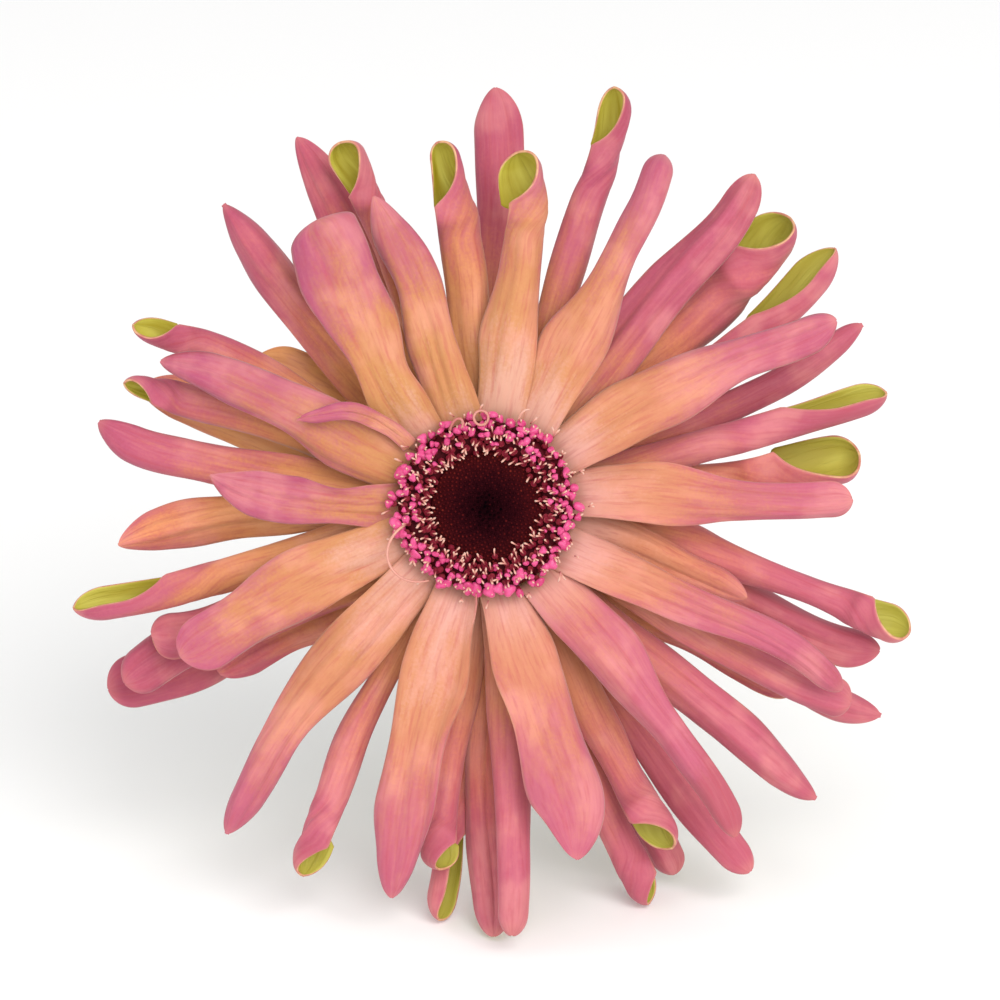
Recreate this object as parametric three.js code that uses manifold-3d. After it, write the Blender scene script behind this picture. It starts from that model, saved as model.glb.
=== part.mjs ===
// A cut gerbera laid on a table: one flower head on a leafless stem (the scape).
// Millimetres, +Z up, the table is Z = 0. The flower looks towards -Y and leans back a little, its
// lowest ray tips and its stem rest on the table.
//
// The head is built in a frame of its own: X to the right and Y up across the flower's face, Z out of
// the face. Angles across the face run anticlockwise from X, as on a clock face read backwards.

import * as THREE from 'three';
import Module from 'manifold-3d';

// ---------- driving sizes ----------

const LEAN = 20;                // degrees that the face leans back from upright
const CLEARANCE = 0.3;          // air between two pieces that would touch

const MEAN_REACH = 50;          // an average ray's tip, from the centre of the face
const RAY_THICKNESS = 0.6;      // a ray floret's strap, through its flesh
const CLAW_WIDTH = 2.6;         // a ray's narrow claw, where it leaves the receptacle
const FRONT_CLAW_WIDTH = 3.4;   // the front row's claws, which are the widest

const RECEPTACLE_RADIUS = 10;   // the fleshy cushion that every floret stands on
const RECEPTACLE_TOP = 1.1;     // its upper face
const RECEPTACLE_SHOULDER = -8.6; // where its side ends and its underside begins
const NECK_DEPTH = -15.6;       // where the underside meets the scape
const NECK_RADIUS = 3.3;
const UNDERSIDE_SLOPE = 0.514;  // how steeply the cushion's underside widens from the neck

const EYE_RADIUS = 5.9;         // the unopened disc florets, a dark shallow dome
const EYE_HEIGHT = 2.3;
const CROWN_RADIUS = 11.8;      // the opened disc florets that stand in a ring round the eye
const CROWN_HEIGHT = 3.6;

const BRACT_COUNT = 17;         // pointed green bracts in each row behind the flower
const BRACT_THICKNESS = 0.7;
const INNER_BRACT_REACH = 19;   // the longer row, which lies against the rays
const OUTER_BRACT_REACH = 14.5;
const BRACT_RISE = 0.27;        // how steeply a bract's point comes forward

const STEM_LENGTH = 205;        // the scape, from the head to the cut
const STEM_TOP_RADIUS = 2.3;
const STEM_END_RADIUS = 2.9;
const STEM_HOLLOW_RADIUS = 1.2; // the hollow that shows in the cut end
const STEM_HOLLOW_DEPTH = 9;

// ---------- the ray florets ----------

// Rows of rays stand one behind the other on the receptacle: depth of each row's claws under the face.
const ROW_DEPTH = { lash: 1.75, front: -0.35, second: -2.5, third: -4.7, back: -6.9 };

// One line for each ray, row by row from the front:
//   [angle of its claw, its middle and its tip in degrees], reach as a share of MEAN_REACH,
//   [width a third of the way out, two thirds out, at the shoulder of the tip],
//   point: 0 a round tip to 1 a long point,
//   [roll of its margins at the middle, at the tip]: degrees each margin is turned back,
//   [twist of the strap at the tip, where along the strap it begins],
//   [depth of its middle, of its tip] in front of the face's plane.
const RAYS = {
  lash: [
    [[141, 142.8, 157.8], 0.52, [2.4, 2.0, 1.4], 1.0, [50, 40], [0, 0.5], [4.2, 5.0]],
  ],
  front: [
    [[10, 3, -0.4], 0.91, [7.6, 5.1, 4.6], 0.1, [50, 45], [0, 0.5], [2.4, 2.0]],
    [[36, 32.5, 27], 0.988, [8.4, 5.2, 4.4], 0.4, [55, 60], [0, 0.5], [2.4, 2.0]],
    [[61, 62.5, 62.2], 0.984, [7.2, 4.2, 4.0], 0.1, [80, 140], [0, 0.5], [2.2, 1.0]],
    [[83, 81, 84.8], 0.89, [7.0, 5.4, 4.6], 0.0, [75, 105], [-135, 0.68], [1.8, 1.4]],
    [[108, 108.2, 110.6], 0.826, [6.6, 5.6, 4.0], 1.0, [45, 60], [0, 0.5], [1.8, 2.0]],
    [[133, 125.5, 118.5], 0.83, [7.4, 9.0, 8.4], 0.0, [40, 45], [0, 0.5], [3.0, 3.2]],
    [[157, 154.8, 154.2], 0.892, [8.0, 6.0, 5.0], 0.8, [45, 70], [0, 0.5], [2.2, 2.0]],
    [[178, 178.7, 173.9], 0.692, [5.8, 5.4, 4.2], 1.0, [50, 50], [0, 0.5], [3.0, 4.2]],
    [[200, 202, 206], 0.848, [7.0, 6.8, 6.4], 0.1, [45, 40], [0, 0.5], [2.4, 3.0]],
    [[224, 226.8, 230.5], 1.046, [7.0, 5.0, 3.8], 0.8, [60, 90], [0, 0.5], [1.2, -2.0]],
    [[250, 253.2, 257], 1.006, [8.4, 6.6, 4.5], 0.6, [50, 70], [0, 0.5], [2.4, -2.0]],
    [[281, 286.5, 285.5], 0.9, [8.5, 8.4, 8.0], 0.7, [45, 40], [0, 0.5], [3.0, 4.6]],
    [[308, 310.3, 307.3], 1.028, [7.4, 4.6, 3.6], 0.5, [60, 70], [0, 0.5], [2.4, 0.5]],
    [[332, 335.3, 333.3], 0.994, [6.0, 4.4, 3.8], 0.3, [60, 80], [0, 0.5], [2.4, 1.0]],
  ],
  second: [
    [[17, 15.5, 15], 1.044, [4.4, 3.8, 3.8], 0.3, [120, 110], [-70, 0.4], [-3.0, -3.6]],
    [[49, 50, 50], 1.074, [6.2, 6.6, 5.0], 0.4, [45, 50], [0, 0.5], [-2.8, -3.0]],
    [[70, 71.6, 72], 1.104, [4.2, 4.6, 4.6], 0.3, [140, 100], [-120, 0.55], [-3.4, -3.0]],
    [[95, 95, 99.3], 0.926, [6.0, 5.6, 3.8], 0.0, [80, 110], [-135, 0.66], [-2.6, -2.6]],
    [[155, 157.5, 161.5], 0.964, [5.0, 4.4, 2.8], 0.3, [90, 110], [-100, 0.8], [-3.4, -2.6]],
    [[172, 171.5, 168], 1.0, [5.8, 5.4, 4.6], 0.6, [60, 90], [0, 0.5], [-3.2, -3.6]],
    [[188, 194, 194], 1.068, [4.2, 4.0, 4.4], 0.5, [110, 110], [100, 0.5], [-3.0, -2.4]],
    [[235.5, 239.5, 243.5], 1.034, [3.8, 4.4, 4.6], 0.3, [110, 110], [100, 0.75], [-2.8, -3.4]],
    [[275, 274.7, 273.2], 1.066, [4.2, 4.2, 4.0], 0.2, [120, 150], [0, 0.5], [-2.6, 2.6]],
    [[314, 317, 318.7], 1.104, [5.5, 6.0, 4.2], 1.0, [55, 90], [0, 0.5], [-3.0, -4.0]],
    [[332, 330.5, 330], 1.036, [4.8, 4.4, 4.2], 0.0, [60, 70], [0, 0.5], [-3.4, -3.0]],
    [[349, 345, 340], 0.69, [5.4, 4.6, 3.6], 0.8, [50, 50], [0, 0.5], [-2.8, -3.0]],
  ],
  third: [
    [[5, 7, 8.5], 0.948, [5.0, 5.6, 5.6], 0.0, [80, 80], [-135, 0.5], [-6.0, -5.4]],
    [[25, 23, 24.5], 1.056, [4.8, 4.0, 3.0], 0.8, [70, 80], [0, 0.5], [-6.2, -7.2]],
    [[112, 111, 110.5], 0.99, [4.4, 3.4, 4.4], 0.0, [110, 105], [-135, 0.78], [-5.4, -3.4]],
    [[135, 133.5, 131], 1.014, [6.6, 5.6, 4.0], 1.0, [60, 100], [0, 0.5], [-5.4, -5.2]],
    [[150, 149.5, 150.8], 1.006, [5.0, 4.2, 3.8], 0.7, [70, 120], [110, 0.8], [-6.2, -5.6]],
    [[179, 181, 186], 0.938, [5.8, 5.6, 4.4], 0.7, [50, 60], [0, 0.5], [-6.2, -7.0]],
    [[199, 203, 202], 0.9, [5.5, 6.0, 6.0], 0.0, [60, 80], [0, 0.5], [-4.8, -2.6]],
    [[214, 206, 205.1], 1.016, [5.5, 6.4, 6.0], 0.0, [50, 60], [0, 0.5], [-7.0, -6.0]],
    [[262, 261.5, 261.5], 0.916, [5.0, 4.4, 4.2], 0.0, [90, 110], [-120, 0.75], [-5.6, -3.4]],
    [[286, 290.5, 291], 1.09, [4.5, 4.0, 4.0], 0.2, [110, 120], [100, 0.8], [-8.2, -12.2]],
    [[301, 297.5, 298.2], 0.976, [5.0, 4.0, 3.6], 0.3, [80, 120], [90, 0.85], [-5.4, -5.0]],
    [[352, 348, 343], 1.112, [5.0, 3.1, 4.6], 0.1, [110, 100], [-100, 0.8], [-6.0, -6.4]],
  ],
  back: [
    [[30, 31.5, 36], 1.102, [5.0, 4.4, 3.8], 0.6, [80, 110], [-60, 0.4], [-9.4, -10.0]],
    [[45, 41.5, 43.5], 1.062, [5.2, 5.0, 5.0], 0.3, [80, 90], [-110, 0.6], [-9.0, -8.4]],
    [[88, 88, 87.6], 1.068, [6.0, 6.2, 5.8], 0.5, [40, 35], [0, 0.5], [-9.0, -10.0]],
    [[119, 117, 116.9], 1.058, [6.5, 7.0, 5.8], 0.9, [40, 40], [0, 0.5], [-9.4, -9.0]],
    [[144, 145.5, 147], 0.7, [6.0, 6.0, 5.0], 0.3, [40, 40], [0, 0.5], [-9.4, -10.0]],
    [[164, 159.5, 161], 0.93, [7.0, 6.6, 5.0], 0.6, [40, 50], [0, 0.5], [-9.6, -9.0]],
    [[218, 213, 209], 0.8, [7.0, 6.6, 6.0], 0.3, [45, 45], [0, 0.5], [-9.8, -9.6]],
    [[200, 206.5, 205.8], 1.072, [6.0, 7.0, 6.6], 0.0, [45, 45], [0, 0.5], [-12.8, -12.6]],
    [[257, 262.5, 264.4], 1.048, [4.8, 4.2, 3.8], 0.3, [90, 120], [-80, 0.5], [-11.0, -7.0]],
    [[272, 270, 271.4], 1.076, [5.4, 5.2, 4.8], 0.4, [50, 50], [0, 0.5], [-7.6, -2.6]],
    [[291, 295.5, 296.4], 1.056, [5.0, 5.0, 4.8], 0.0, [60, 70], [0, 0.5], [-10.0, -17.0]],
    [[306, 304, 304.8], 1.14, [5.5, 5.2, 4.6], 0.2, [60, 90], [0, 0.5], [-9.6, -10.0]],
    [[321, 327.5, 329], 0.9, [6.5, 6.0, 5.0], 0.5, [45, 45], [0, 0.5], [-9.4, -8.4]],
    [[335, 331.5, 331.1], 1.136, [4.6, 4.2, 4.0], 1.0, [60, 90], [0, 0.5], [-12.0, -13.0]],
    [[350, 341.5, 339.7], 1.06, [5.4, 5.0, 4.6], 0.5, [50, 50], [0, 0.5], [-9.4, -9.6]],
  ],
};

const LASH_ROOT = CROWN_RADIUS + CLEARANCE + 0.2; // the one stray ray that lies in front of all others
const RAY_STATIONS = [0, 0.14, 0.32, 0.52, 0.7, 0.81, 0.89, 0.95, 1];
const RAY_POINTS_ACROSS = 5;
const TIP_WIDTH = 0.9;          // the narrowest a ray's tip gets
const LEAST_ROLL_RADIUS = 0.75; // the tightest roll of a ray's margin

const wasm = await Module();
wasm.setup();

const radians = THREE.MathUtils.degToRad;
const clamp = THREE.MathUtils.clamp;
const smooth = (from, to, value) => THREE.MathUtils.smoothstep(value, from, to);

// ---------- solids from rings ----------

// A closed solid through a row of closed rings of points, each with the same number of points. With
// endless true the last ring joins the first; otherwise both ends are capped. Between two rings every
// four-sided face is split along one diagonal: turning true takes the other one, which a solid needs
// that twists clockwise on its way, because the wrong diagonals would fold it into itself.
function loft(rings, { endless = false, turning = false } = {}) {
  const around = rings[0].length;
  const positions = rings.flat().flatMap((point) => point.toArray());
  const triangles = [];
  const last = endless ? rings.length : rings.length - 1;
  for (let ring = 0; ring < last; ring++) {
    const here = ring * around;
    const there = ((ring + 1) % rings.length) * around;
    for (let i = 0; i < around; i++) {
      const next = (i + 1) % around;
      const [near, nearNext, far, farNext] = [here + i, here + next, there + i, there + next];
      if (turning) {
        triangles.push([near, far, nearNext], [far, farNext, nearNext]);
      } else {
        triangles.push([near, far, farNext], [near, farNext, nearNext]);
      }
    }
  }
  if (!endless) {
    const end = (rings.length - 1) * around;
    const pairs = around / 2;
    // A section is two facing rows of points, so its cap is a strip between the rows.
    for (let i = 0; i < pairs - 1; i++) {
      const far = around - 1 - i;
      triangles.push([i, i + 1, far - 1], [i, far - 1, far]);
      triangles.push([end + i, end + far - 1, end + i + 1], [end + i, end + far, end + far - 1]);
    }
  }
  return outward(positions, triangles);
}

// A BufferGeometry whose faces point out, whichever way its triangles were wound.
function outward(positions, triangles) {
  const corner = [0, 1, 2].map(() => new THREE.Vector3());
  let volume = 0;
  for (const triangle of triangles) {
    triangle.forEach((index, k) => corner[k].fromArray(positions, index * 3));
    volume += corner[0].dot(corner[1].clone().cross(corner[2]));
  }
  const facing = volume > 0 ? triangles : triangles.map(([a, b, c]) => [a, c, b]);
  const geometry = new THREE.BufferGeometry();
  geometry.setAttribute('position', new THREE.Float32BufferAttribute(positions, 3));
  geometry.setIndex(facing.flat());
  return geometry;
}

function toSolid(geometry) {
  const mesh = new wasm.Mesh({
    numProp: 3,
    vertProperties: new Float32Array(geometry.attributes.position.array),
    triVerts: new Uint32Array(geometry.index.array),
  });
  return new wasm.Manifold(mesh);
}

function toGeometry(solid) {
  const mesh = solid.getMesh();
  const geometry = new THREE.BufferGeometry();
  geometry.setAttribute('position', new THREE.Float32BufferAttribute(mesh.vertProperties, 3));
  geometry.setIndex(Array.from(mesh.triVerts));
  return geometry;
}

// ---------- one ray floret ----------

// A smooth value through a start, a middle and an end.
function throughThree([start, middle, end], t) {
  return start * (1 - t) * (1 - 2 * t) + middle * 4 * t * (1 - t) + end * t * (2 * t - 1);
}

// Straight stretches between named places along the strap, rounded off.
function along(places, t) {
  for (let i = 1; i < places.length; i++) {
    const [from, low] = places[i - 1];
    const [to, high] = places[i];
    if (t <= to) return low + (high - low) * smooth(from, to, t);
  }
  return places[places.length - 1][1];
}

function tipTaper(t, width, length, point) {
  const taper = (width * (0.5 + 1.1 * point)) / length;
  const into = clamp((t - 1 + taper) / taper, 0, 1);
  return (1 - into ** (2 - 0.7 * point)) ** (0.5 + 0.4 * point);
}

// The closed outline of the strap's cross-section: x across the strap, y out of the face. The strap is
// wrapped on a roll, turned by its twist, and fills the width that it is given. A coat stands out from
// it by extra on both faces and past both margins.
function strapSection(width, roll, twist, extra) {
  const middleWidth = Math.max(width - RAY_THICKNESS, 0.2);
  const angles = Array.from({ length: 25 }, (_, i) => twist + roll * (i / 12 - 1));
  const across = angles.map(Math.sin);
  const out = angles.map(Math.cos);
  const span = Math.max(...across) - Math.min(...across);
  const radius = Math.max(middleWidth / span, LEAST_ROLL_RADIUS);
  const centreX = (Math.max(...across) + Math.min(...across)) / 2;
  const centreY = (Math.max(...out) + Math.min(...out)) / 2;
  const halfTurn = roll + extra / radius;
  const arc = (side) => Array.from({ length: RAY_POINTS_ACROSS }, (_, i) => {
    const angle = twist + halfTurn * ((2 * i) / (RAY_POINTS_ACROSS - 1) - 1);
    const reach = radius + side * (RAY_THICKNESS / 2 + extra);
    return [
      Math.sin(angle) * reach - centreX * radius,
      Math.cos(angle) * reach - centreY * radius,
    ];
  });
  return [...arc(1), ...arc(-1).reverse()];
}

// A ray as a solid. With extra above zero it is the same ray with a coat that thick all round.
function rayGeometry(row, ray, extra = 0) {
  const [angles, share, widths, point, rolls, [twistTip, twistFrom], depths] = ray;
  const root = row === 'lash' ? LASH_ROOT : RECEPTACLE_RADIUS + CLEARANCE;
  const reach = share * MEAN_REACH;
  const length = reach - root;
  const claw = row === 'front' ? FRONT_CLAW_WIDTH : CLAW_WIDTH;
  const depthAngles = [ROW_DEPTH[row], ...depths];
  const centre = (t) => {
    const angle = radians(throughThree(angles, t));
    const radius = root + length * t;
    const depth = throughThree(depthAngles, t);
    return new THREE.Vector3(Math.cos(angle) * radius, Math.sin(angle) * radius, depth);
  };
  const faceOut = new THREE.Vector3(0, 0, 1);
  const rings = RAY_STATIONS.map((t) => {
    const place = centre(t);
    const forward = centre(t + 0.01).sub(centre(t - 0.01)).normalize();
    const side = faceOut.clone().cross(forward).normalize();
    const out = forward.clone().cross(side);
    const fullWidth = along([[0, Math.min(claw, widths[0])], [0.35, widths[0]], [0.7, widths[1]],
      [1, widths[2]]], t);
    const taper = tipTaper(t, widths[2], length, point);
    const width = Math.max(fullWidth * taper, TIP_WIDTH);
    const roll = radians(along([[0, 25], [0.5, rolls[0]], [1, rolls[1]]], t) * (0.5 + 0.5 * taper));
    const twist = radians(twistTip) * smooth(twistFrom, 1, t);
    return strapSection(width, roll, twist, extra)
      .map(([x, y]) => place.clone().addScaledVector(side, x).addScaledVector(out, y));
  });
  // A coat also stands out past the strap's two ends.
  const push = (ring, from, to) => {
    const shift = centre(to).sub(centre(from)).setLength(extra);
    ring.forEach((spot) => spot.add(shift));
  };
  if (extra > 0) {
    push(rings[0], 0.01, -0.01);
    push(rings[rings.length - 1], 0.99, 1.01);
  }
  return loft(rings, { turning: twistTip > 0 });
}

// Every ray, front rows first. Where a ray presses on one in front of it, it gives way and keeps the
// clearance, as a soft strap does.
function rayMeshes() {
  const coats = [];
  const meshes = [];
  for (const [row, rays] of Object.entries(RAYS)) {
    rays.forEach((ray, index) => {
      let solid = toSolid(rayGeometry(row, ray));
      const box = solid.boundingBox();
      for (const coat of coats.filter((other) => meet(other.box, box))) {
        const cut = solid.subtract(coat.solid);
        if (cut.volume() < solid.volume() - 1e-4) solid = cut;
      }
      const pieces = solid.decompose();
      pieces.sort((a, b) => b.volume() - a.volume());
      const coatSolid = toSolid(rayGeometry(row, ray, CLEARANCE));
      coats.push({ solid: coatSolid, box: coatSolid.boundingBox() });
      const number = String(index + 1).padStart(2, '0');
      const name = rays.length > 1 ? `ray_${row}_${number}` : `ray_${row}`;
      meshes.push(named(name, toGeometry(pieces[0]), RAY_FINISH));
    });
  }
  return meshes;
}

function meet(one, other) {
  return [0, 1, 2].every((k) => one.min[k] <= other.max[k] && one.max[k] >= other.min[k]);
}

// ---------- finishes ----------

const finish = (colour, roughness) => new THREE.MeshStandardMaterial({
  color: colour, roughness, metalness: 0,
});
const RAY_FINISH = finish(0xe0828a, 0.6);
const STEM_FINISH = finish(0x7c9a4a, 0.7);
const BRACT_FINISH = finish(0x6f8a44, 0.75);
const RECEPTACLE_FINISH = finish(0xb9c98a, 0.7);
const EYE_FINISH = finish(0x3a0a18, 0.6);
const CROWN_FINISH = finish(0xd65a96, 0.6);

function named(name, geometry, material) {
  const mesh = new THREE.Mesh(geometry, material);
  mesh.name = name;
  return mesh;
}

// ---------- the middle of the head ----------

// A solid turned about the face's axis from an outline of [radius, depth] points.
function turned(name, outline, material, steps = 24) {
  const points = outline.map(([radius, depth]) => new THREE.Vector2(radius, depth));
  const geometry = new THREE.LatheGeometry(points, steps);
  geometry.rotateX(Math.PI / 2);
  geometry.deleteAttribute('uv');
  geometry.deleteAttribute('normal');
  return named(name, geometry, material);
}

function receptacle() {
  return turned('receptacle', [
    [0, NECK_DEPTH],
    [NECK_RADIUS, NECK_DEPTH],
    [RECEPTACLE_RADIUS * 0.7, NECK_DEPTH + (RECEPTACLE_RADIUS * 0.7 - NECK_RADIUS) * UNDERSIDE_SLOPE],
    [RECEPTACLE_RADIUS * 0.93, (NECK_DEPTH + RECEPTACLE_SHOULDER) / 2],
    [RECEPTACLE_RADIUS, RECEPTACLE_SHOULDER],
    [RECEPTACLE_RADIUS, RECEPTACLE_TOP - 0.8],
    [RECEPTACLE_RADIUS - 0.8, RECEPTACLE_TOP],
    [0, RECEPTACLE_TOP],
  ], RECEPTACLE_FINISH);
}

// The unopened florets in the middle: a shallow dome with a dimple.
function discEye() {
  const base = RECEPTACLE_TOP + CLEARANCE;
  return turned('disc_eye', [
    [0, base],
    [EYE_RADIUS, base],
    [EYE_RADIUS, base + EYE_HEIGHT * 0.5],
    [EYE_RADIUS * 0.82, base + EYE_HEIGHT * 0.95],
    [EYE_RADIUS * 0.5, base + EYE_HEIGHT],
    [0, base + EYE_HEIGHT * 0.7],
  ], EYE_FINISH);
}

// The ring of opened florets round the eye. It leans out over the claws of the front rays.
function discCrown() {
  const base = RECEPTACLE_TOP + CLEARANCE;
  const inner = EYE_RADIUS + CLEARANCE;
  const rim = CROWN_RADIUS - inner;
  return turned('disc_crown', [
    [inner, base],
    [inner + rim * 0.75, base],
    [CROWN_RADIUS, base + CROWN_HEIGHT * 0.45],
    [inner + rim * 0.9, base + CROWN_HEIGHT * 0.8],
    [inner + rim * 0.6, base + CROWN_HEIGHT],
    [inner + rim * 0.2, base + CROWN_HEIGHT * 0.85],
    [inner, base + CROWN_HEIGHT * 0.5],
    [inner, base],
  ], CROWN_FINISH);
}

// ---------- the green cup behind the head ----------

// One row of bracts, joined at their feet into a cup. Each bract swings out from the neck and ends in a
// point behind the rays; between two points the cup is cut back.
function bractRow(name, reach, behind) {
  const stepsPerBract = 2;
  const count = BRACT_COUNT * stepsPerBract;
  const rings = Array.from({ length: count }, (_, step) => {
    const turn = (step / count) * 2 * Math.PI;
    const isPoint = step % stepsPerBract === 0;
    const foot = new THREE.Vector2(NECK_RADIUS + CLEARANCE + 0.5, NECK_DEPTH - behind);
    const knee = new THREE.Vector2(RECEPTACLE_RADIUS + 0.4, NECK_DEPTH + 1.4 - behind);
    const tip = new THREE.Vector2(reach, knee.y + (reach - knee.x) * BRACT_RISE);
    const rib = new THREE.QuadraticBezierCurve(foot, knee, tip);
    const end = isPoint ? 1 : 0.55;
    const places = [0, 0.35, 0.7, 1].map((t) => t * end);
    const side = (half) => places.map((t) => {
      const spot = rib.getPoint(t);
      const heading = rib.getTangent(t);
      const thin = t > 0.9 ? 0.4 : 1;
      const off = half * thin * BRACT_THICKNESS / 2;
      const radius = spot.x - heading.y * off;
      const depth = spot.y + heading.x * off;
      return new THREE.Vector3(Math.cos(turn) * radius, Math.sin(turn) * radius, depth);
    });
    return [...side(1), ...side(-1).reverse()];
  });
  return named(name, loft(rings, { endless: true }), BRACT_FINISH);
}

// ---------- the stem ----------

// The scape leaves the back of the head square to the face, sinks to the table in one long bend and then
// lies on it, swaying a little, to its cut end.
function scape(neck, backwards) {
  const landing = new THREE.Vector3(7, neck.y + 108, 0);
  const droop = new THREE.CubicBezierCurve3(
    neck,
    neck.clone().addScaledVector(backwards, 46),
    landing.clone().add(new THREE.Vector3(-3, -44, 0)),
    landing,
  );
  const lying = Math.max(STEM_LENGTH - droop.getLength(), 20);
  const cut = landing.clone().add(new THREE.Vector3(-9, lying, 0));
  const run = new THREE.CubicBezierCurve3(
    landing,
    landing.clone().add(new THREE.Vector3(3, lying * 0.4, 0)),
    cut.clone().add(new THREE.Vector3(9, -lying * 0.4, 0)),
    cut,
  );
  const path = new THREE.CurvePath();
  path.add(droop);
  path.add(run);
  const total = path.getLength();
  const steps = Math.round(total / 8);
  const sides = 12;
  const radiusAt = (u) => {
    const shaft = THREE.MathUtils.lerp(STEM_TOP_RADIUS, STEM_END_RADIUS, smooth(0, 0.7, u));
    return shaft + (NECK_RADIUS - STEM_TOP_RADIUS) * (1 - smooth(0, 0.06, u));
  };
  const centreAt = (u) => {
    const spot = path.getPointAt(clamp(u, 0, 1));
    spot.z += radiusAt(u) * smooth(0.15, 0.55, u);
    return spot;
  };
  const rings = [];
  for (let step = 0; step <= steps; step++) {
    const u = step / steps;
    const forward = centreAt(Math.min(u + 0.01, 1)).sub(centreAt(Math.max(u - 0.01, 0))).normalize();
    const across = new THREE.Vector3(1, 0, 0).addScaledVector(forward, -forward.x).normalize();
    const up = across.clone().cross(forward);
    const centre = centreAt(u);
    const radius = radiusAt(u);
    rings.push(Array.from({ length: sides }, (_, i) => {
      const angle = ((i + 0.5) / sides) * 2 * Math.PI;
      return centre.clone()
        .addScaledVector(across, Math.cos(angle) * radius)
        .addScaledVector(up, Math.sin(angle) * radius / Math.cos(Math.PI / sides));
    }));
  }
  const solid = toSolid(loft(rings));
  const inward = centreAt(1 - STEM_HOLLOW_DEPTH / total);
  const hollowAxis = centreAt(1).sub(inward).normalize();
  const hollow = new THREE.CylinderGeometry(STEM_HOLLOW_RADIUS, STEM_HOLLOW_RADIUS * 0.6,
    STEM_HOLLOW_DEPTH * 1.5, 8);
  hollow.deleteAttribute('uv');
  hollow.deleteAttribute('normal');
  const upright = new THREE.Vector3(0, 1, 0);
  hollow.applyQuaternion(new THREE.Quaternion().setFromUnitVectors(upright, hollowAxis));
  const middle = inward.clone().addScaledVector(hollowAxis, STEM_HOLLOW_DEPTH * 0.75);
  hollow.translate(middle.x, middle.y, middle.z);
  return named('scape', toGeometry(solid.subtract(toSolid(welded(hollow)))), STEM_FINISH);
}

// The same geometry with corners that share a place made one.
function welded(geometry) {
  const places = new Map();
  const positions = [];
  const source = geometry.attributes.position;
  const order = [];
  for (let i = 0; i < source.count; i++) {
    const spot = [source.getX(i), source.getY(i), source.getZ(i)];
    const key = spot.map((value) => value.toFixed(4)).join();
    if (!places.has(key)) {
      places.set(key, places.size);
      positions.push(...spot);
    }
    order.push(places.get(key));
  }
  const triangles = [];
  for (let i = 0; i < geometry.index.count; i += 3) {
    const triangle = [0, 1, 2].map((k) => order[geometry.index.getX(i + k)]);
    if (new Set(triangle).size === 3) triangles.push(triangle);
  }
  return outward(positions, triangles);
}

// ---------- the whole flower ----------

const gerbera = new THREE.Group();
const head = new THREE.Group();
head.rotation.x = radians(90 - LEAN);
head.add(...rayMeshes());
head.add(receptacle(), discEye(), discCrown());
head.add(bractRow('bracts_inner', INNER_BRACT_REACH, 0));
head.add(bractRow('bracts_outer', OUTER_BRACT_REACH, BRACT_THICKNESS + CLEARANCE + 0.2));
gerbera.add(head);

// The head comes down until its lowest ray touches the table.
gerbera.updateMatrixWorld(true);
head.position.z = -new THREE.Box3().setFromObject(head, true).min.z;
gerbera.updateMatrixWorld(true);
const behindNeck = NECK_DEPTH - BRACT_THICKNESS - CLEARANCE;
const neck = head.localToWorld(new THREE.Vector3(0, 0, behindNeck));
const backwards = new THREE.Vector3(0, 0, -1).transformDirection(head.matrixWorld);
gerbera.add(scape(neck, backwards));

// The origin is on the table, under the middle of the whole flower.
const box = new THREE.Box3().setFromObject(gerbera, true);
const middle = box.getCenter(new THREE.Vector3());
gerbera.position.set(-middle.x, -middle.y, 0);

export default gerbera;
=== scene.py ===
# %% [markdown]
# # A cut gerbera, lying on a table
# The frame holds the measured solids of the flower. This lesson dresses them: each cell makes one kind
# of piece or one finish, and says how the real one grows and how it is made here.
#
# Every length below is in millimetres until a piece is finished. One factor then turns it into metres.

# %% Load the frame
import math
import random

import bpy
import numpy as np
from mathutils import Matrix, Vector, noise


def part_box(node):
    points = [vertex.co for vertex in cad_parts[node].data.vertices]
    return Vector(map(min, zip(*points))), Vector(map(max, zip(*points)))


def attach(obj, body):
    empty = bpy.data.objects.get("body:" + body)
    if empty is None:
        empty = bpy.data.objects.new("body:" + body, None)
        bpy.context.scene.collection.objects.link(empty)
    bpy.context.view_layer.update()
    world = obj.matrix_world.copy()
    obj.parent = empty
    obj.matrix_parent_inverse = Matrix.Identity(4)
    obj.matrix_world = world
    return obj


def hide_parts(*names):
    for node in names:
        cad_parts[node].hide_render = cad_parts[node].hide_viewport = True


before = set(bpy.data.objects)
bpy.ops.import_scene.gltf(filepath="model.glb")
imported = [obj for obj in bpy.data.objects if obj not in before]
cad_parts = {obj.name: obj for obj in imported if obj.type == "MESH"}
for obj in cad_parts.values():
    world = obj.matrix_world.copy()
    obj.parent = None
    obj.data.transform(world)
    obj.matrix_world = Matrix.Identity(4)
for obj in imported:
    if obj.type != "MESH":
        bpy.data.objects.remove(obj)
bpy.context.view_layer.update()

MM = 0.001

# %% [markdown]
# ## The flower's face
# A gerbera lies down with its face nearly upright, and it leans back on its lowest petals and its stem.
# Everything in the head is easiest to place on a flat map of that face: right, up and out towards the
# viewer. The middle of the face is found from the ring of open florets, whose box the frame gives. The
# ring is round, so in X its box is centred on the flower's axis. The ring's widest circle decides where
# the box ends at the top and at the back, which gives the other two places.

# %% The map of the face
LEAN = math.radians(20)
# The ring of open florets: its radius, and how far out of the face it is widest.
RING_RADIUS, RING_WIDEST = 11.8, 3.02
RIGHT = np.array([1.0, 0.0, 0.0])
UP = np.array([0.0, math.sin(LEAN), math.cos(LEAN)])
OUT = np.array([0.0, -math.cos(LEAN), math.sin(LEAN)])


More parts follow.
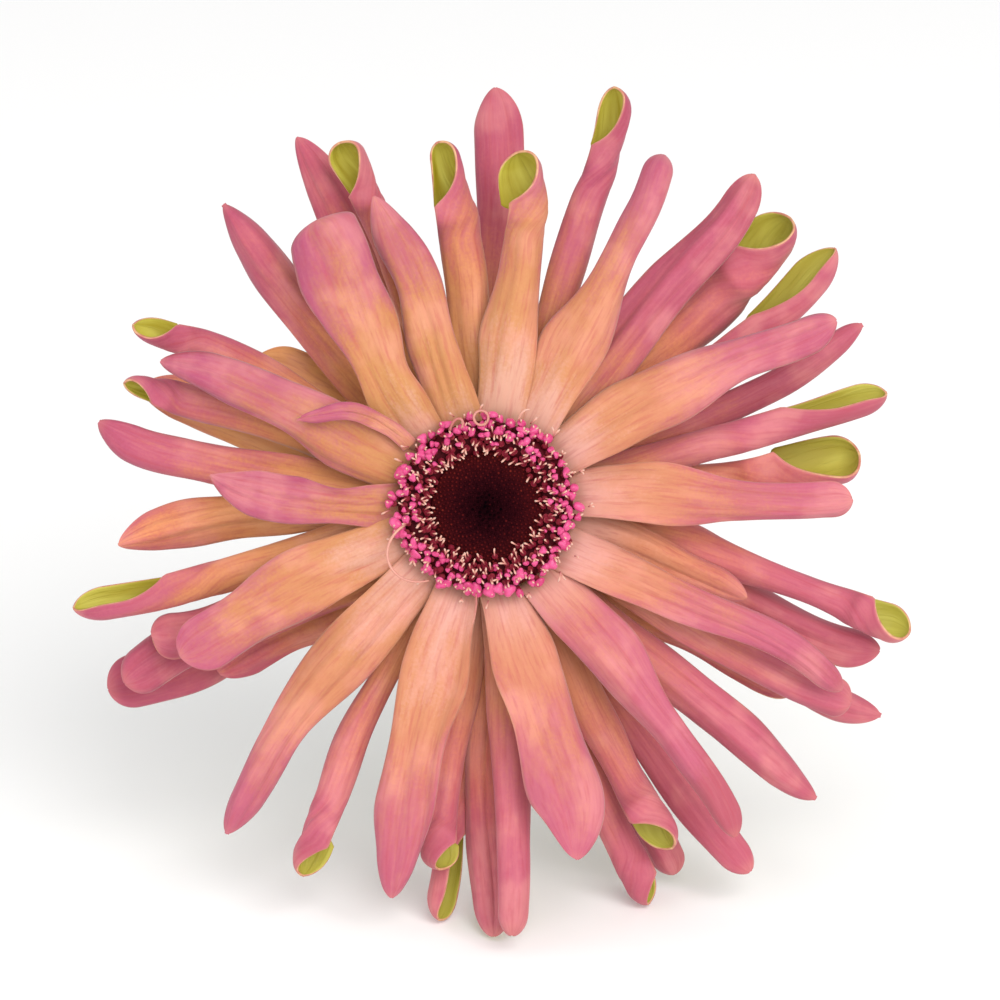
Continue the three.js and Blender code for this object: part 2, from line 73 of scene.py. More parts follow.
def middle_of_face():
    low, high = (np.array(corner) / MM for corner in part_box("disc_crown"))
    widest = (low + high) / 2
    top = high[2] - RING_RADIUS * math.cos(LEAN) - RING_WIDEST * math.sin(LEAN)
    back = high[1] - RING_RADIUS * math.sin(LEAN) + RING_WIDEST * math.cos(LEAN)
    return np.array([widest[0], back, top])


FACE = middle_of_face()


def on_face(points):
    """Turns rows of (right, up, out) into places in the flower's frame, all in mm."""
    points = np.asarray(points, dtype=float).reshape(-1, 3)
    return FACE + points[:, :1] * RIGHT + points[:, 1:2] * UP + points[:, 2:] * OUT


print("middle of the face at", FACE.round(2), "mm")

# %% [markdown]
# ## The camera
# It looks straight at the face, so it looks down at the table by as much as the flower leans back. A
# long lens from 600 mm keeps the petals' proportions as a portrait lens would.

# %% The camera
VIEW_DISTANCE = 600
VIEW_WIDTH = 125
VIEW_RIGHT, VIEW_UP = 1.6, 1.0
SENSOR_WIDTH = 36

camera_data = bpy.data.cameras.new("camera")
camera_data.sensor_width = SENSOR_WIDTH
camera_data.lens = camera_data.sensor_width * VIEW_DISTANCE / VIEW_WIDTH
camera = bpy.data.objects.new("camera", camera_data)
bpy.context.collection.objects.link(camera)
bpy.context.scene.camera = camera
camera.location = Vector(on_face([VIEW_RIGHT, VIEW_UP, VIEW_DISTANCE])[0] * MM)
camera.rotation_euler = (math.pi / 2 - LEAN, 0, 0)
print("lens", round(camera_data.lens, 1), "mm")

# %% [markdown]
# ## Table and light
# A pale table that runs far past the flower, so that no edge of it shows. The light is soft and comes
# mostly from in front and above on the right, with an even glow all round it that keeps shadows open.

# %% The table and the light
scene = bpy.context.scene
scene.view_settings.view_transform = "Standard"
scene.view_settings.look = "None"


def srgb(red, green, blue):
    """A colour as seen on a screen, 0 to 255, as the linear numbers that shaders use."""
    linear = [((c / 255 + 0.055) / 1.055) ** 2.4 if c > 10 else c / 3294.6 for c in (red, green, blue)]
    return (*linear, 1)


def new_finish(name):
    """A new material, its node tree and its main shader."""
    material = bpy.data.materials.new(name)
    material.use_nodes = True
    return material, material.node_tree, material.node_tree.nodes["Principled BSDF"]


def make_table(half):
    """A flat square, so many metres from its middle to each side."""
    mesh = bpy.data.meshes.new("table_top")
    corners = [(-half, -half, 0), (half, -half, 0), (half, half, 0), (-half, half, 0)]
    mesh.from_pydata(corners, [], [(0, 1, 2, 3)])
    table = bpy.data.objects.new("table_top", mesh)
    bpy.context.collection.objects.link(table)
    material, _, shader = new_finish("pale_table")
    shader.inputs["Base Color"].default_value = srgb(250, 250, 250)
    shader.inputs["Roughness"].default_value = 0.9
    mesh.materials.append(material)


def soft_light(name, place, size, power, colour=(1, 1, 1)):
    """A square panel of light at a place on the face's map, in mm, aimed at the flower."""
    data = bpy.data.lights.new(name, "AREA")
    data.size = size
    data.energy = power
    data.color = colour
    light = bpy.data.objects.new(name, data)
    bpy.context.collection.objects.link(light)
    light.location = Vector(on_face(place)[0] * MM)
    aim = Vector(FACE * MM) - light.location
    light.rotation_euler = aim.to_track_quat("-Z", "Y").to_euler()


make_table(4.0)
soft_light("window", (600, 500, 1500), 1.3, 25, (1.0, 0.985, 0.965))
soft_light("bounce", (-1300, 200, 1100), 1.6, 9, (0.97, 0.98, 1.0))
world = bpy.data.worlds.new("studio")
world.use_nodes = True
world.node_tree.nodes["Background"].inputs["Color"].default_value = (1, 1, 1, 1)
world.node_tree.nodes["Background"].inputs["Strength"].default_value = 0.72
scene.world = world
print("table, world glow and lights:", [light.name for light in bpy.data.lights])

# %% [markdown]
# ## Helpers for finishes
# A finish is a small network of nodes. It can be drawn by hand in Blender's shader editor, but code can
# be reused. These helpers keep each network short: one adds a node and sets its values, one does sums,
# one reads a number that is stored on the mesh.

# %% Nodes and numbers


def add(tree, kind, **values):
    """A node of the kind; values whose names are sockets are set or, if they are sockets, linked."""
    node = tree.nodes.new(kind)
    for key, value in values.items():
        if key in node.inputs:
            if isinstance(value, bpy.types.NodeSocket):
                tree.links.new(value, node.inputs[key])
            else:
                node.inputs[key].default_value = value
        else:
            setattr(node, key, value)
    return node


def stored(tree, name):
    """A number that every point of the mesh carries."""
    return add(tree, "ShaderNodeAttribute", attribute_name=name).outputs["Fac"]


def feed(tree, sockets, values):
    """Links each value that is a socket, and sets each that is a number or a colour."""
    for socket, value in zip(sockets, values):
        if isinstance(value, bpy.types.NodeSocket):
            tree.links.new(value, socket)
        else:
            socket.default_value = value


def maths(tree, operation, first, second=0.0):
    node = tree.nodes.new("ShaderNodeMath")
    node.operation = operation
    feed(tree, node.inputs, (first, second))
    return node.outputs[0]


def push(tree, amount, strength):
    """A number around 0.5 as a push either way from 0."""
    return maths(tree, "MULTIPLY", maths(tree, "SUBTRACT", amount, 0.5), strength)


print("helpers for numbers:", add.__name__, stored.__name__, maths.__name__, push.__name__)

# %% [markdown]
# ## Helpers for colour
# A colour is picked from a ramp by a number, and then drawn a little towards other colours where veins,
# margins or shade need it. Noise breaks both up, so that nothing looks painted with a roller. The map of
# the strap lets noise run along a petal instead of through space.

# %% Colours and noise


def blend(tree, amount, first, second):
    """Two colours mixed by an amount between 0 and 1."""
    node = tree.nodes.new("ShaderNodeMix")
    node.data_type = "RGBA"
    feed(tree, (node.inputs[0], node.inputs[6], node.inputs[7]), (amount, first, second))
    return node.outputs[2]


def tint(tree, colour, amount, strength, hue):
    """The colour drawn towards a hue by an amount times a strength."""
    return blend(tree, maths(tree, "MULTIPLY", amount, strength), colour, srgb(*hue))


def ramp(tree, amount, stops):
    """Colours, each with its place from 0 to 1; the amount picks one."""
    node = add(tree, "ShaderNodeValToRGB", Fac=amount)
    elements = node.color_ramp.elements
    while len(elements) < len(stops):
        elements.new(0.5)
    for element, (place, colour) in zip(elements, stops):
        element.position = place
        element.color = srgb(*colour)
    return node.outputs["Color"]


def fade(tree, amount, start, end):
    """Goes smoothly from 0 to 1 while the amount goes from start to end."""
    node = add(tree, "ShaderNodeMapRange", Value=amount)
    node.interpolation_type = "SMOOTHSTEP"
    node.inputs["From Min"].default_value = start
    node.inputs["From Max"].default_value = end
    return node.outputs["Result"]


def speckle(tree, scale, detail=3.0, vector=None):
    """Cloudy noise, in space or on a map of the strap."""
    if vector is None:
        vector = add(tree, "ShaderNodeTexCoord").outputs["Object"]
    return add(tree, "ShaderNodeTexNoise", Vector=vector, Scale=scale, Detail=detail).outputs["Fac"]


def skin(tree, shader, colour, roughness, gloss=None):
    """Gives the shader its colour, its roughness and, if it is named, its gloss."""
    tree.links.new(colour, shader.inputs["Base Color"])
    shader.inputs["Roughness"].default_value = roughness
    if gloss is not None:
        shader.inputs["Specular IOR Level"].default_value = gloss


def relief(tree, shader, height, strength, distance=0.00012):
    """Fine relief of the surface, so many metres deep."""
    bump = add(tree, "ShaderNodeBump", Strength=strength, Distance=distance, Height=height)
    tree.links.new(bump.outputs["Normal"], shader.inputs["Normal"])


def flesh_glow(shader, weight, reach):
    """Light that soaks into the flesh: how much of it, and how far red, green and blue reach."""
    shader.inputs["Subsurface Weight"].default_value = weight
    shader.inputs["Subsurface Radius"].default_value = reach


RAYS_APART = 37.0


def strap_map(tree, across_scale, along_scale):
    """A map that runs with the strap: across it, along it, and a third number that differs by ray."""
    across = maths(tree, "MULTIPLY", stored(tree, "across"), across_scale)
    along = maths(tree, "MULTIPLY", stored(tree, "along"), along_scale)
    apart = maths(tree, "MULTIPLY", stored(tree, "tone"), RAYS_APART)
    return add(tree, "ShaderNodeCombineXYZ", X=across, Y=along, Z=apart).outputs["Vector"]


print("helpers for colour:", blend.__name__, tint.__name__, ramp.__name__, fade.__name__, speckle.__name__)


# %% [markdown]
# ## The face of a ray floret
# Each ray is pale pink where it leaves the disc, then peach, then pink to the tip. Rows further back are
# drawn towards a second ramp of painted light and shade, for how light falls between the rows. A ray's
# flesh is streaked lengthwise. The colours come from how far out a point lies, and noise stretched along
# the strap pushes that place in and out, so that the change between two colours runs in streaks as it
# does in a petal.

# %% Finish: the upper face of a ray
FRONT_COLOURS = [
    (0.14, (202, 154, 130)), (0.22, (196, 143, 111)), (0.32, (188, 131, 80)), (0.46, (184, 121, 77)),
    (0.58, (174, 99, 93)), (0.70, (170, 84, 105)), (0.82, (164, 73, 104)), (0.96, (148, 62, 80)),
]
# Painted light and shade of the rows further back: warmer and lighter than the front row's colours.
BACK_ROW_PAINTED_LIGHT_COLOURS = [
    (0.20, (232, 160, 96)), (0.38, (224, 146, 94)), (0.52, (206, 118, 93)), (0.70, (183, 88, 99)),
    (0.92, (167, 72, 98)),
]


def ray_ground(tree, across, streaks, grain):
    """The ground colour of a ray: the place out along it, pushed about, picks from the two ramps."""
    margin = maths(tree, "MULTIPLY", maths(tree, "POWER", maths(tree, "ABSOLUTE", across), 3.0), 0.16)
    place = stored(tree, "out")
    for part in (push(tree, streaks, 0.34), push(tree, grain, 0.2), push(tree, stored(tree, "tone"), 0.12),
                 margin, push(tree, speckle(tree, 90.0, 2.0), 0.36)):
        place = maths(tree, "ADD", place, part)
    # The second ramp is painted light and shade of the rows further back; the row's stored share mixes it in.
    front, behind = ramp(tree, place, FRONT_COLOURS), ramp(tree, place, BACK_ROW_PAINTED_LIGHT_COLOURS)
    return blend(tree, stored(tree, "behind"), front, behind)


def ray_face_finish():
    material, tree, shader = new_finish("ray_face")
    across, near, pink_and_lit_side = (stored(tree, name) for name in ("across", "radius", "pink_and_lit_side"))
    streaks = speckle(tree, 1.0, 5.0, strap_map(tree, 3.4, 5.0))
    threads = speckle(tree, 1.0, 3.0, strap_map(tree, 11.0, 11.0))
    grain = speckle(tree, 2600.0, 3.0)
    colour = ray_ground(tree, across, streaks, grain)
    colour = tint(tree, colour, pink_and_lit_side, 0.3, (210, 112, 124))
    colour = tint(tree, colour, fade(tree, speckle(tree, 140.0, 3.0), 0.46, 0.68), 0.3, (224, 152, 142))
    # Paler feet by the disc, weighted to the lower right: the rays' own pale feet, and painted light on that
    # side.
    pallor = maths(tree, "MULTIPLY", fade(tree, near, 0.33, 0.19), maths(tree, "ADD", pink_and_lit_side, -0.05))
    colour = tint(tree, colour, pallor, 0.45, (218, 166, 162))
    # Where a ray runs in under the disc it is shaded and a little brown.
    colour = tint(tree, colour, fade(tree, near, 0.215, 0.19), 0.35, (140, 92, 66))
    # Dark threads, painted shade in the groove on each side of the middle, and pale threads between them.
    colour = tint(tree, colour, fade(tree, threads, 0.48, 0.74), 0.3, (168, 62, 74))
    aside = maths(tree, "ABSOLUTE", maths(tree, "SUBTRACT", maths(tree, "ABSOLUTE", across), 0.4))
    painted_groove_shade = maths(tree, "MULTIPLY", fade(tree, aside, 0.09, 0.0), fade(tree, streaks, 0.35, 0.6))
    colour = tint(tree, colour, painted_groove_shade, 0.2, (176, 66, 70))
    colour = tint(tree, colour, fade(tree, threads, 0.52, 0.28), 0.07, (232, 160, 136))
    edge = maths(tree, "MULTIPLY", fade(tree, maths(tree, "ABSOLUTE", across), 0.93, 1.0), 0.22)
    tip = maths(tree, "MULTIPLY", fade(tree, stored(tree, "along"), 0.96, 1.0), 0.12)
    colour = blend(tree, maths(tree, "MAXIMUM", edge, tip), colour, srgb(228, 172, 136))
    skin(tree, shader, colour, 0.62, 0.25)
    flesh_glow(shader, 0.08, (0.0012, 0.0006, 0.0004))
    shader.inputs["Sheen Weight"].default_value = 0.12
    shader.inputs["Sheen Roughness"].default_value = 0.5
    veins = speckle(tree, 1.0, 2.0, strap_map(tree, 14.0, 2.2))
    relief(tree, shader, maths(tree, "ADD", veins, maths(tree, "MULTIPLY", grain, 0.5)), 0.2)
    return material


RAY_FACE = ray_face_finish()
print(RAY_FACE.name, "has", len(RAY_FACE.node_tree.nodes), "nodes")

# %% [markdown]
# ## The back of a ray floret, and its margin
# The underside is olive green, lighter towards the tip. The margin is a thin cream line. They are two
# more finishes, on faces of their own, so nothing has to guess which side it is on.

# %% Finish: the underside and the margin
UNDERSIDE_COLOURS = [
    (0.35, (146, 112, 34)), (0.65, (150, 128, 14)), (0.85, (152, 136, 18)), (1.05, (182, 172, 66)),
]
MARGIN_COLOURS = [(0.35, (194, 120, 100)), (0.65, (214, 168, 122))]


def ray_back_finish():
    material, tree, shader = new_finish("ray_underside")
    streaks = speckle(tree, 1.0, 4.0, strap_map(tree, 3.0, 4.0))
    threads = fade(tree, speckle(tree, 1.0, 2.0, strap_map(tree, 12.0, 6.0)), 0.5, 0.75)
    place = maths(tree, "ADD", stored(tree, "along"), push(tree, streaks, 0.5))
    colour = ramp(tree, place, UNDERSIDE_COLOURS)
    # Painted light: the underside is drawn lighter on the lower right of the face.
    colour = tint(tree, colour, stored(tree, "pink_and_lit_side"), 0.45, (188, 184, 90))
    colour = tint(tree, colour, threads, 0.25, (118, 106, 0))
    skin(tree, shader, colour, 0.6, 0.3)
    relief(tree, shader, threads, 0.4)
    return material


def ray_margin_finish():
    material, tree, shader = new_finish("ray_margin")
    skin(tree, shader, ramp(tree, speckle(tree, 900.0, 2.0), MARGIN_COLOURS), 0.55)
    return material


RAY_FINISHES = [RAY_FACE, ray_back_finish(), ray_margin_finish()]
print("finishes of a ray:", [finish.name for finish in RAY_FINISHES])

# %% [markdown]
# ## The shape of a ray floret
# A ray is one soft strap. Its margins roll back, some so far that the strap becomes a tube, and near the
# tip many twist until the roll's mouth shows its green inside. So each cross-section here is an arc of a
# roll: how far it is rolled, how far it is turned and how wide it looks all change along the strap. This
# is quicker and truer than bending a flat petal with modifiers, because the arc says all of it at once.

# %% Measures and easings of a strap
RECEPTACLE_RADIUS = 10
CLEARANCE = 0.3
MEAN_REACH = 50
LASH_ROOT = 12.3
ROW_DEPTH = {"lash": 1.75, "front": -0.35, "second": -2.5, "third": -4.7, "back": -6.9}
CLAW_WIDTH = {"lash": 2.2, "front": 6.3, "second": 4.6, "third": 4.2, "back": 4.4}
STATIONS, ACROSS = 84, 27
STRAP_THICKNESS = 0.3


def smooth(start, end, value):
    """0 before the start, 1 after the end, and an S-shaped rise between them."""
    step = np.clip((value - start) / (end - start), 0, 1)
    return step * step * (3 - 2 * step)


def through_three(values, t):
    """A parabola through the values at the root, the middle and the tip."""
    start, middle, end = values
    return start * (1 - t) * (1 - 2 * t) + middle * 4 * t * (1 - t) + end * t * (2 * t - 1)


def along_strap(places, t):
    """A value given at a few places along the strap, eased from each to the next."""
    result = np.full_like(t, places[0][1], dtype=float)
    for (start, low), (end, high) in zip(places, places[1:]):
        result = np.where(t > start, low + (high - low) * smooth(start, end, t), result)
    return result


def wobble(seed, t, pace):
    """A gentle, repeatable waver along the strap, about -0.5 to 0.5."""
    return np.array([noise.noise(Vector((value * pace, seed * 7.31, 0.5))) for value in t])


print("a strap has", STATIONS, "stations of", ACROSS, "points")

# %% [markdown]
# ## The line of a strap and its roll
# The middle line starts at the cushion, runs out to the tip and sways a little, and many tips hook to
# one side. Along it go four more curves: how wide the strap looks, how far it is rolled, how far the
# roll is turned and how the tip runs out. A twist starts slowly and is done before the tip.

# %% The line and the roll
SWAY_DEGREES, HOOK = 1.2, 1.4
CLAW_ROLL, CLAW_LEAN = 24, 9
NARROWEST = 0.25


def strap_line(row, angles, share, depths, seed, hook):
    """Places along the strap, its length, its middle line, and the ways to the side and out of it."""
    root = LASH_ROOT if row == "lash" else RECEPTACLE_RADIUS + CLEARANCE
    length = share * MEAN_REACH - root
    depth_line = (ROW_DEPTH[row], *depths)

    def centre(t):
        radius = root + length * t
        sway = SWAY_DEGREES * wobble(seed, t, 2.2) * smooth(0, 0.5, t)
        angle = np.radians(through_three(angles, t) + sway) + hook * smooth(0.72, 1.05, t) ** 2 / radius
        return np.stack([np.cos(angle) * radius, np.sin(angle) * radius, through_three(depth_line, t)], 1)

    # Stations crowd towards the tip, where the shape changes fastest.
    t = 1 - (1 - np.linspace(0, 1, STATIONS)) ** 1.5
    forward = centre(t + 0.004) - centre(t - 0.004)
    forward /= np.linalg.norm(forward, axis=1, keepdims=True)
    side = np.cross([0, 0, 1], forward)
    side /= np.linalg.norm(side, axis=1, keepdims=True)
    return t, length, centre(t), side, np.cross(forward, side)


def tip_taper(t, width, length, point):
    """1 along the strap and 0 at its tip: it falls bluntly for a low point, in a long cone for a high one."""
    taper = width * max(0.5 + 0.9 * point, 0.2) / length
    into = np.clip((t - 1 + taper) / taper, 0, 1)
    return (1 - into ** (2.2 - 0.5 * point)) ** (0.5 + 0.12 * point)


def strap_roll(row, widths, rolls, twist, taper, seed, t):
    """How wide the strap looks, how far it is rolled and how far it is turned, at each place along it."""
    claw = min(CLAW_WIDTH[row], widths[0])
    width = along_strap([(0, claw), (0.28, widths[0]), (0.7, widths[1]), (1, widths[2])], t)
    width = np.maximum(width * taper * (1 + 0.09 * wobble(seed + 40, t, 4)), NARROWEST)
    roll = along_strap([(0, CLAW_ROLL), (0.5, rolls[0]), (0.9, rolls[1])], t) * (0.5 + 0.5 * taper)
    roll = np.radians(roll * (1 + 0.12 * wobble(seed + 80, t, 4)))
    lean = np.radians(CLAW_LEAN) * (1 - smooth(0.25, 0.6, t))
    even = np.clip((t - twist[1]) / (twist[-1] - twist[1]), 0, 1) if twist[0] else 0 * t
    turn = np.radians(twist[0]) * (1 - (1 - even) ** 1.5) * smooth(0, 0.45, even) + lean
    return width, roll, turn


print("claws are", min(CLAW_WIDTH.values()), "to", max(CLAW_WIDTH.values()), "mm wide")

# %% [markdown]
# ## The skin of a strap
# Long folds, fine ribs, a groove on each side of the middle and now and then a crease run along a real
# ray. Here they are real relief in the mesh, worked out with cosines and a few seeded random numbers, so
# that they catch the light from every side. The margins waver by themselves, as soft flesh does.

# %% One strap, as a grid of points
OPEN_ROLL = 70
GROOVE_PLACE = 0.4
CREASED_SHARE = 0.3
DEEPEST_ROLL = 0.9


def strap_relief(is_open, seed, chance, t, v):
    """Folds, ribs, grooves and a crease along the strap, in mm."""
    drift = wobble(seed + 120, t, 1.6)[:, None]
    pace, start = chance.uniform(1.1, 1.9), chance.uniform(0, 2)
    folds = (0.26 if is_open else 0.14) * np.cos(math.pi * (v * pace + start + 0.8 * drift))
    ribs = 0.035 * np.cos(math.pi * (v * 4.3 + seed + drift)) + 0.014 * np.cos(math.pi * (v * 9.7 + 2 * seed))
    middle = 0.1 * chance.uniform(-1, 1)
    crease = -0.22 * np.exp(-((v - middle) / 0.13) ** 2) * (chance.random() < CREASED_SHARE)
    grooves = -0.09 * np.exp(-((np.abs(v) - GROOVE_PLACE) / 0.1) ** 2) * (1 if is_open else 0.5)
    return folds + ribs + crease + grooves


def margin_waver(seed, pace, t, v):
    """Each margin's own waver."""
    right, left = wobble(seed, t, pace), wobble(seed + 40, t, pace)
    return np.where(v > 0, right[:, None], left[:, None])


def strap_grid(row, angles, share, widths, point, rolls, twist, depths, seed):
    """One strap as a grid of points on the face's map, and the places along and across it."""
    chance = random.Random(seed * 31)
    t, length, middle, side, out = strap_line(row, angles, share, depths, seed, chance.uniform(-HOOK, HOOK))
    taper = tip_taper(t, widths[2], length, point)
    width, roll, turn = strap_roll(row, widths, rolls, twist, taper, seed, t)
    is_open = rolls[0] < OPEN_ROLL

    # The roll's radius makes it look as wide as it should, whichever way it is turned.
    arc = turn[:, None] + roll[:, None] * np.linspace(-1, 1, 49)
    wide, deep = np.sin(arc), np.cos(arc)
    radius = np.maximum((width - STRAP_THICKNESS).clip(0.05) / (wide.max(1) - wide.min(1)), 0.3)

    v = np.linspace(-1, 1, ACROSS)
    angle = turn[:, None] + roll[:, None] * v
    ridges = strap_relief(is_open, seed, chance, t, v) * smooth(0, 0.25, t)[:, None] * taper[:, None]
    reach = radius[:, None] + ridges * np.clip(width / 5, 0.4, 1.2)[:, None]
    x = np.sin(angle) * reach - (radius * (wide.max(1) + wide.min(1)) / 2)[:, None]
    y = np.cos(angle) * reach - (radius * (deep.max(1) + deep.min(1)) / 2)[:, None]
    # A roll that turns on its side is never deeper than it is wide.
    y *= np.minimum(1, DEEPEST_ROLL * width / (radius * (deep.max(1) - deep.min(1))))[:, None]
    # Each margin wavers by itself, to the side and out of the face.
    free = v ** 2 * (width * smooth(0.12, 0.4, t))[:, None]
    x += 0.2 * margin_waver(seed + 160, 3.4, t, v) * free
    y += 0.3 * margin_waver(seed + 240, 2.6, t, v) * free * is_open
    return middle[:, None] + side[:, None] * x[:, :, None] + out[:, None] * y[:, :, None], t, v


print("rolled less than", OPEN_ROLL, "degrees to each side, a strap is open")

# %% [markdown]
# ## The ray florets
# One line for each ray, as the frame's solids have them: the row it grows in, where its claw, middle and
# tip point round the face, how far it reaches, how wide it is, how pointed, how rolled and how twisted,
# and how far its middle and tip stand out of the face. Further on, a loop turns each line into a strap,
# and a Solidify modifier gives it its flesh and its own finish on the underside and on the margin.

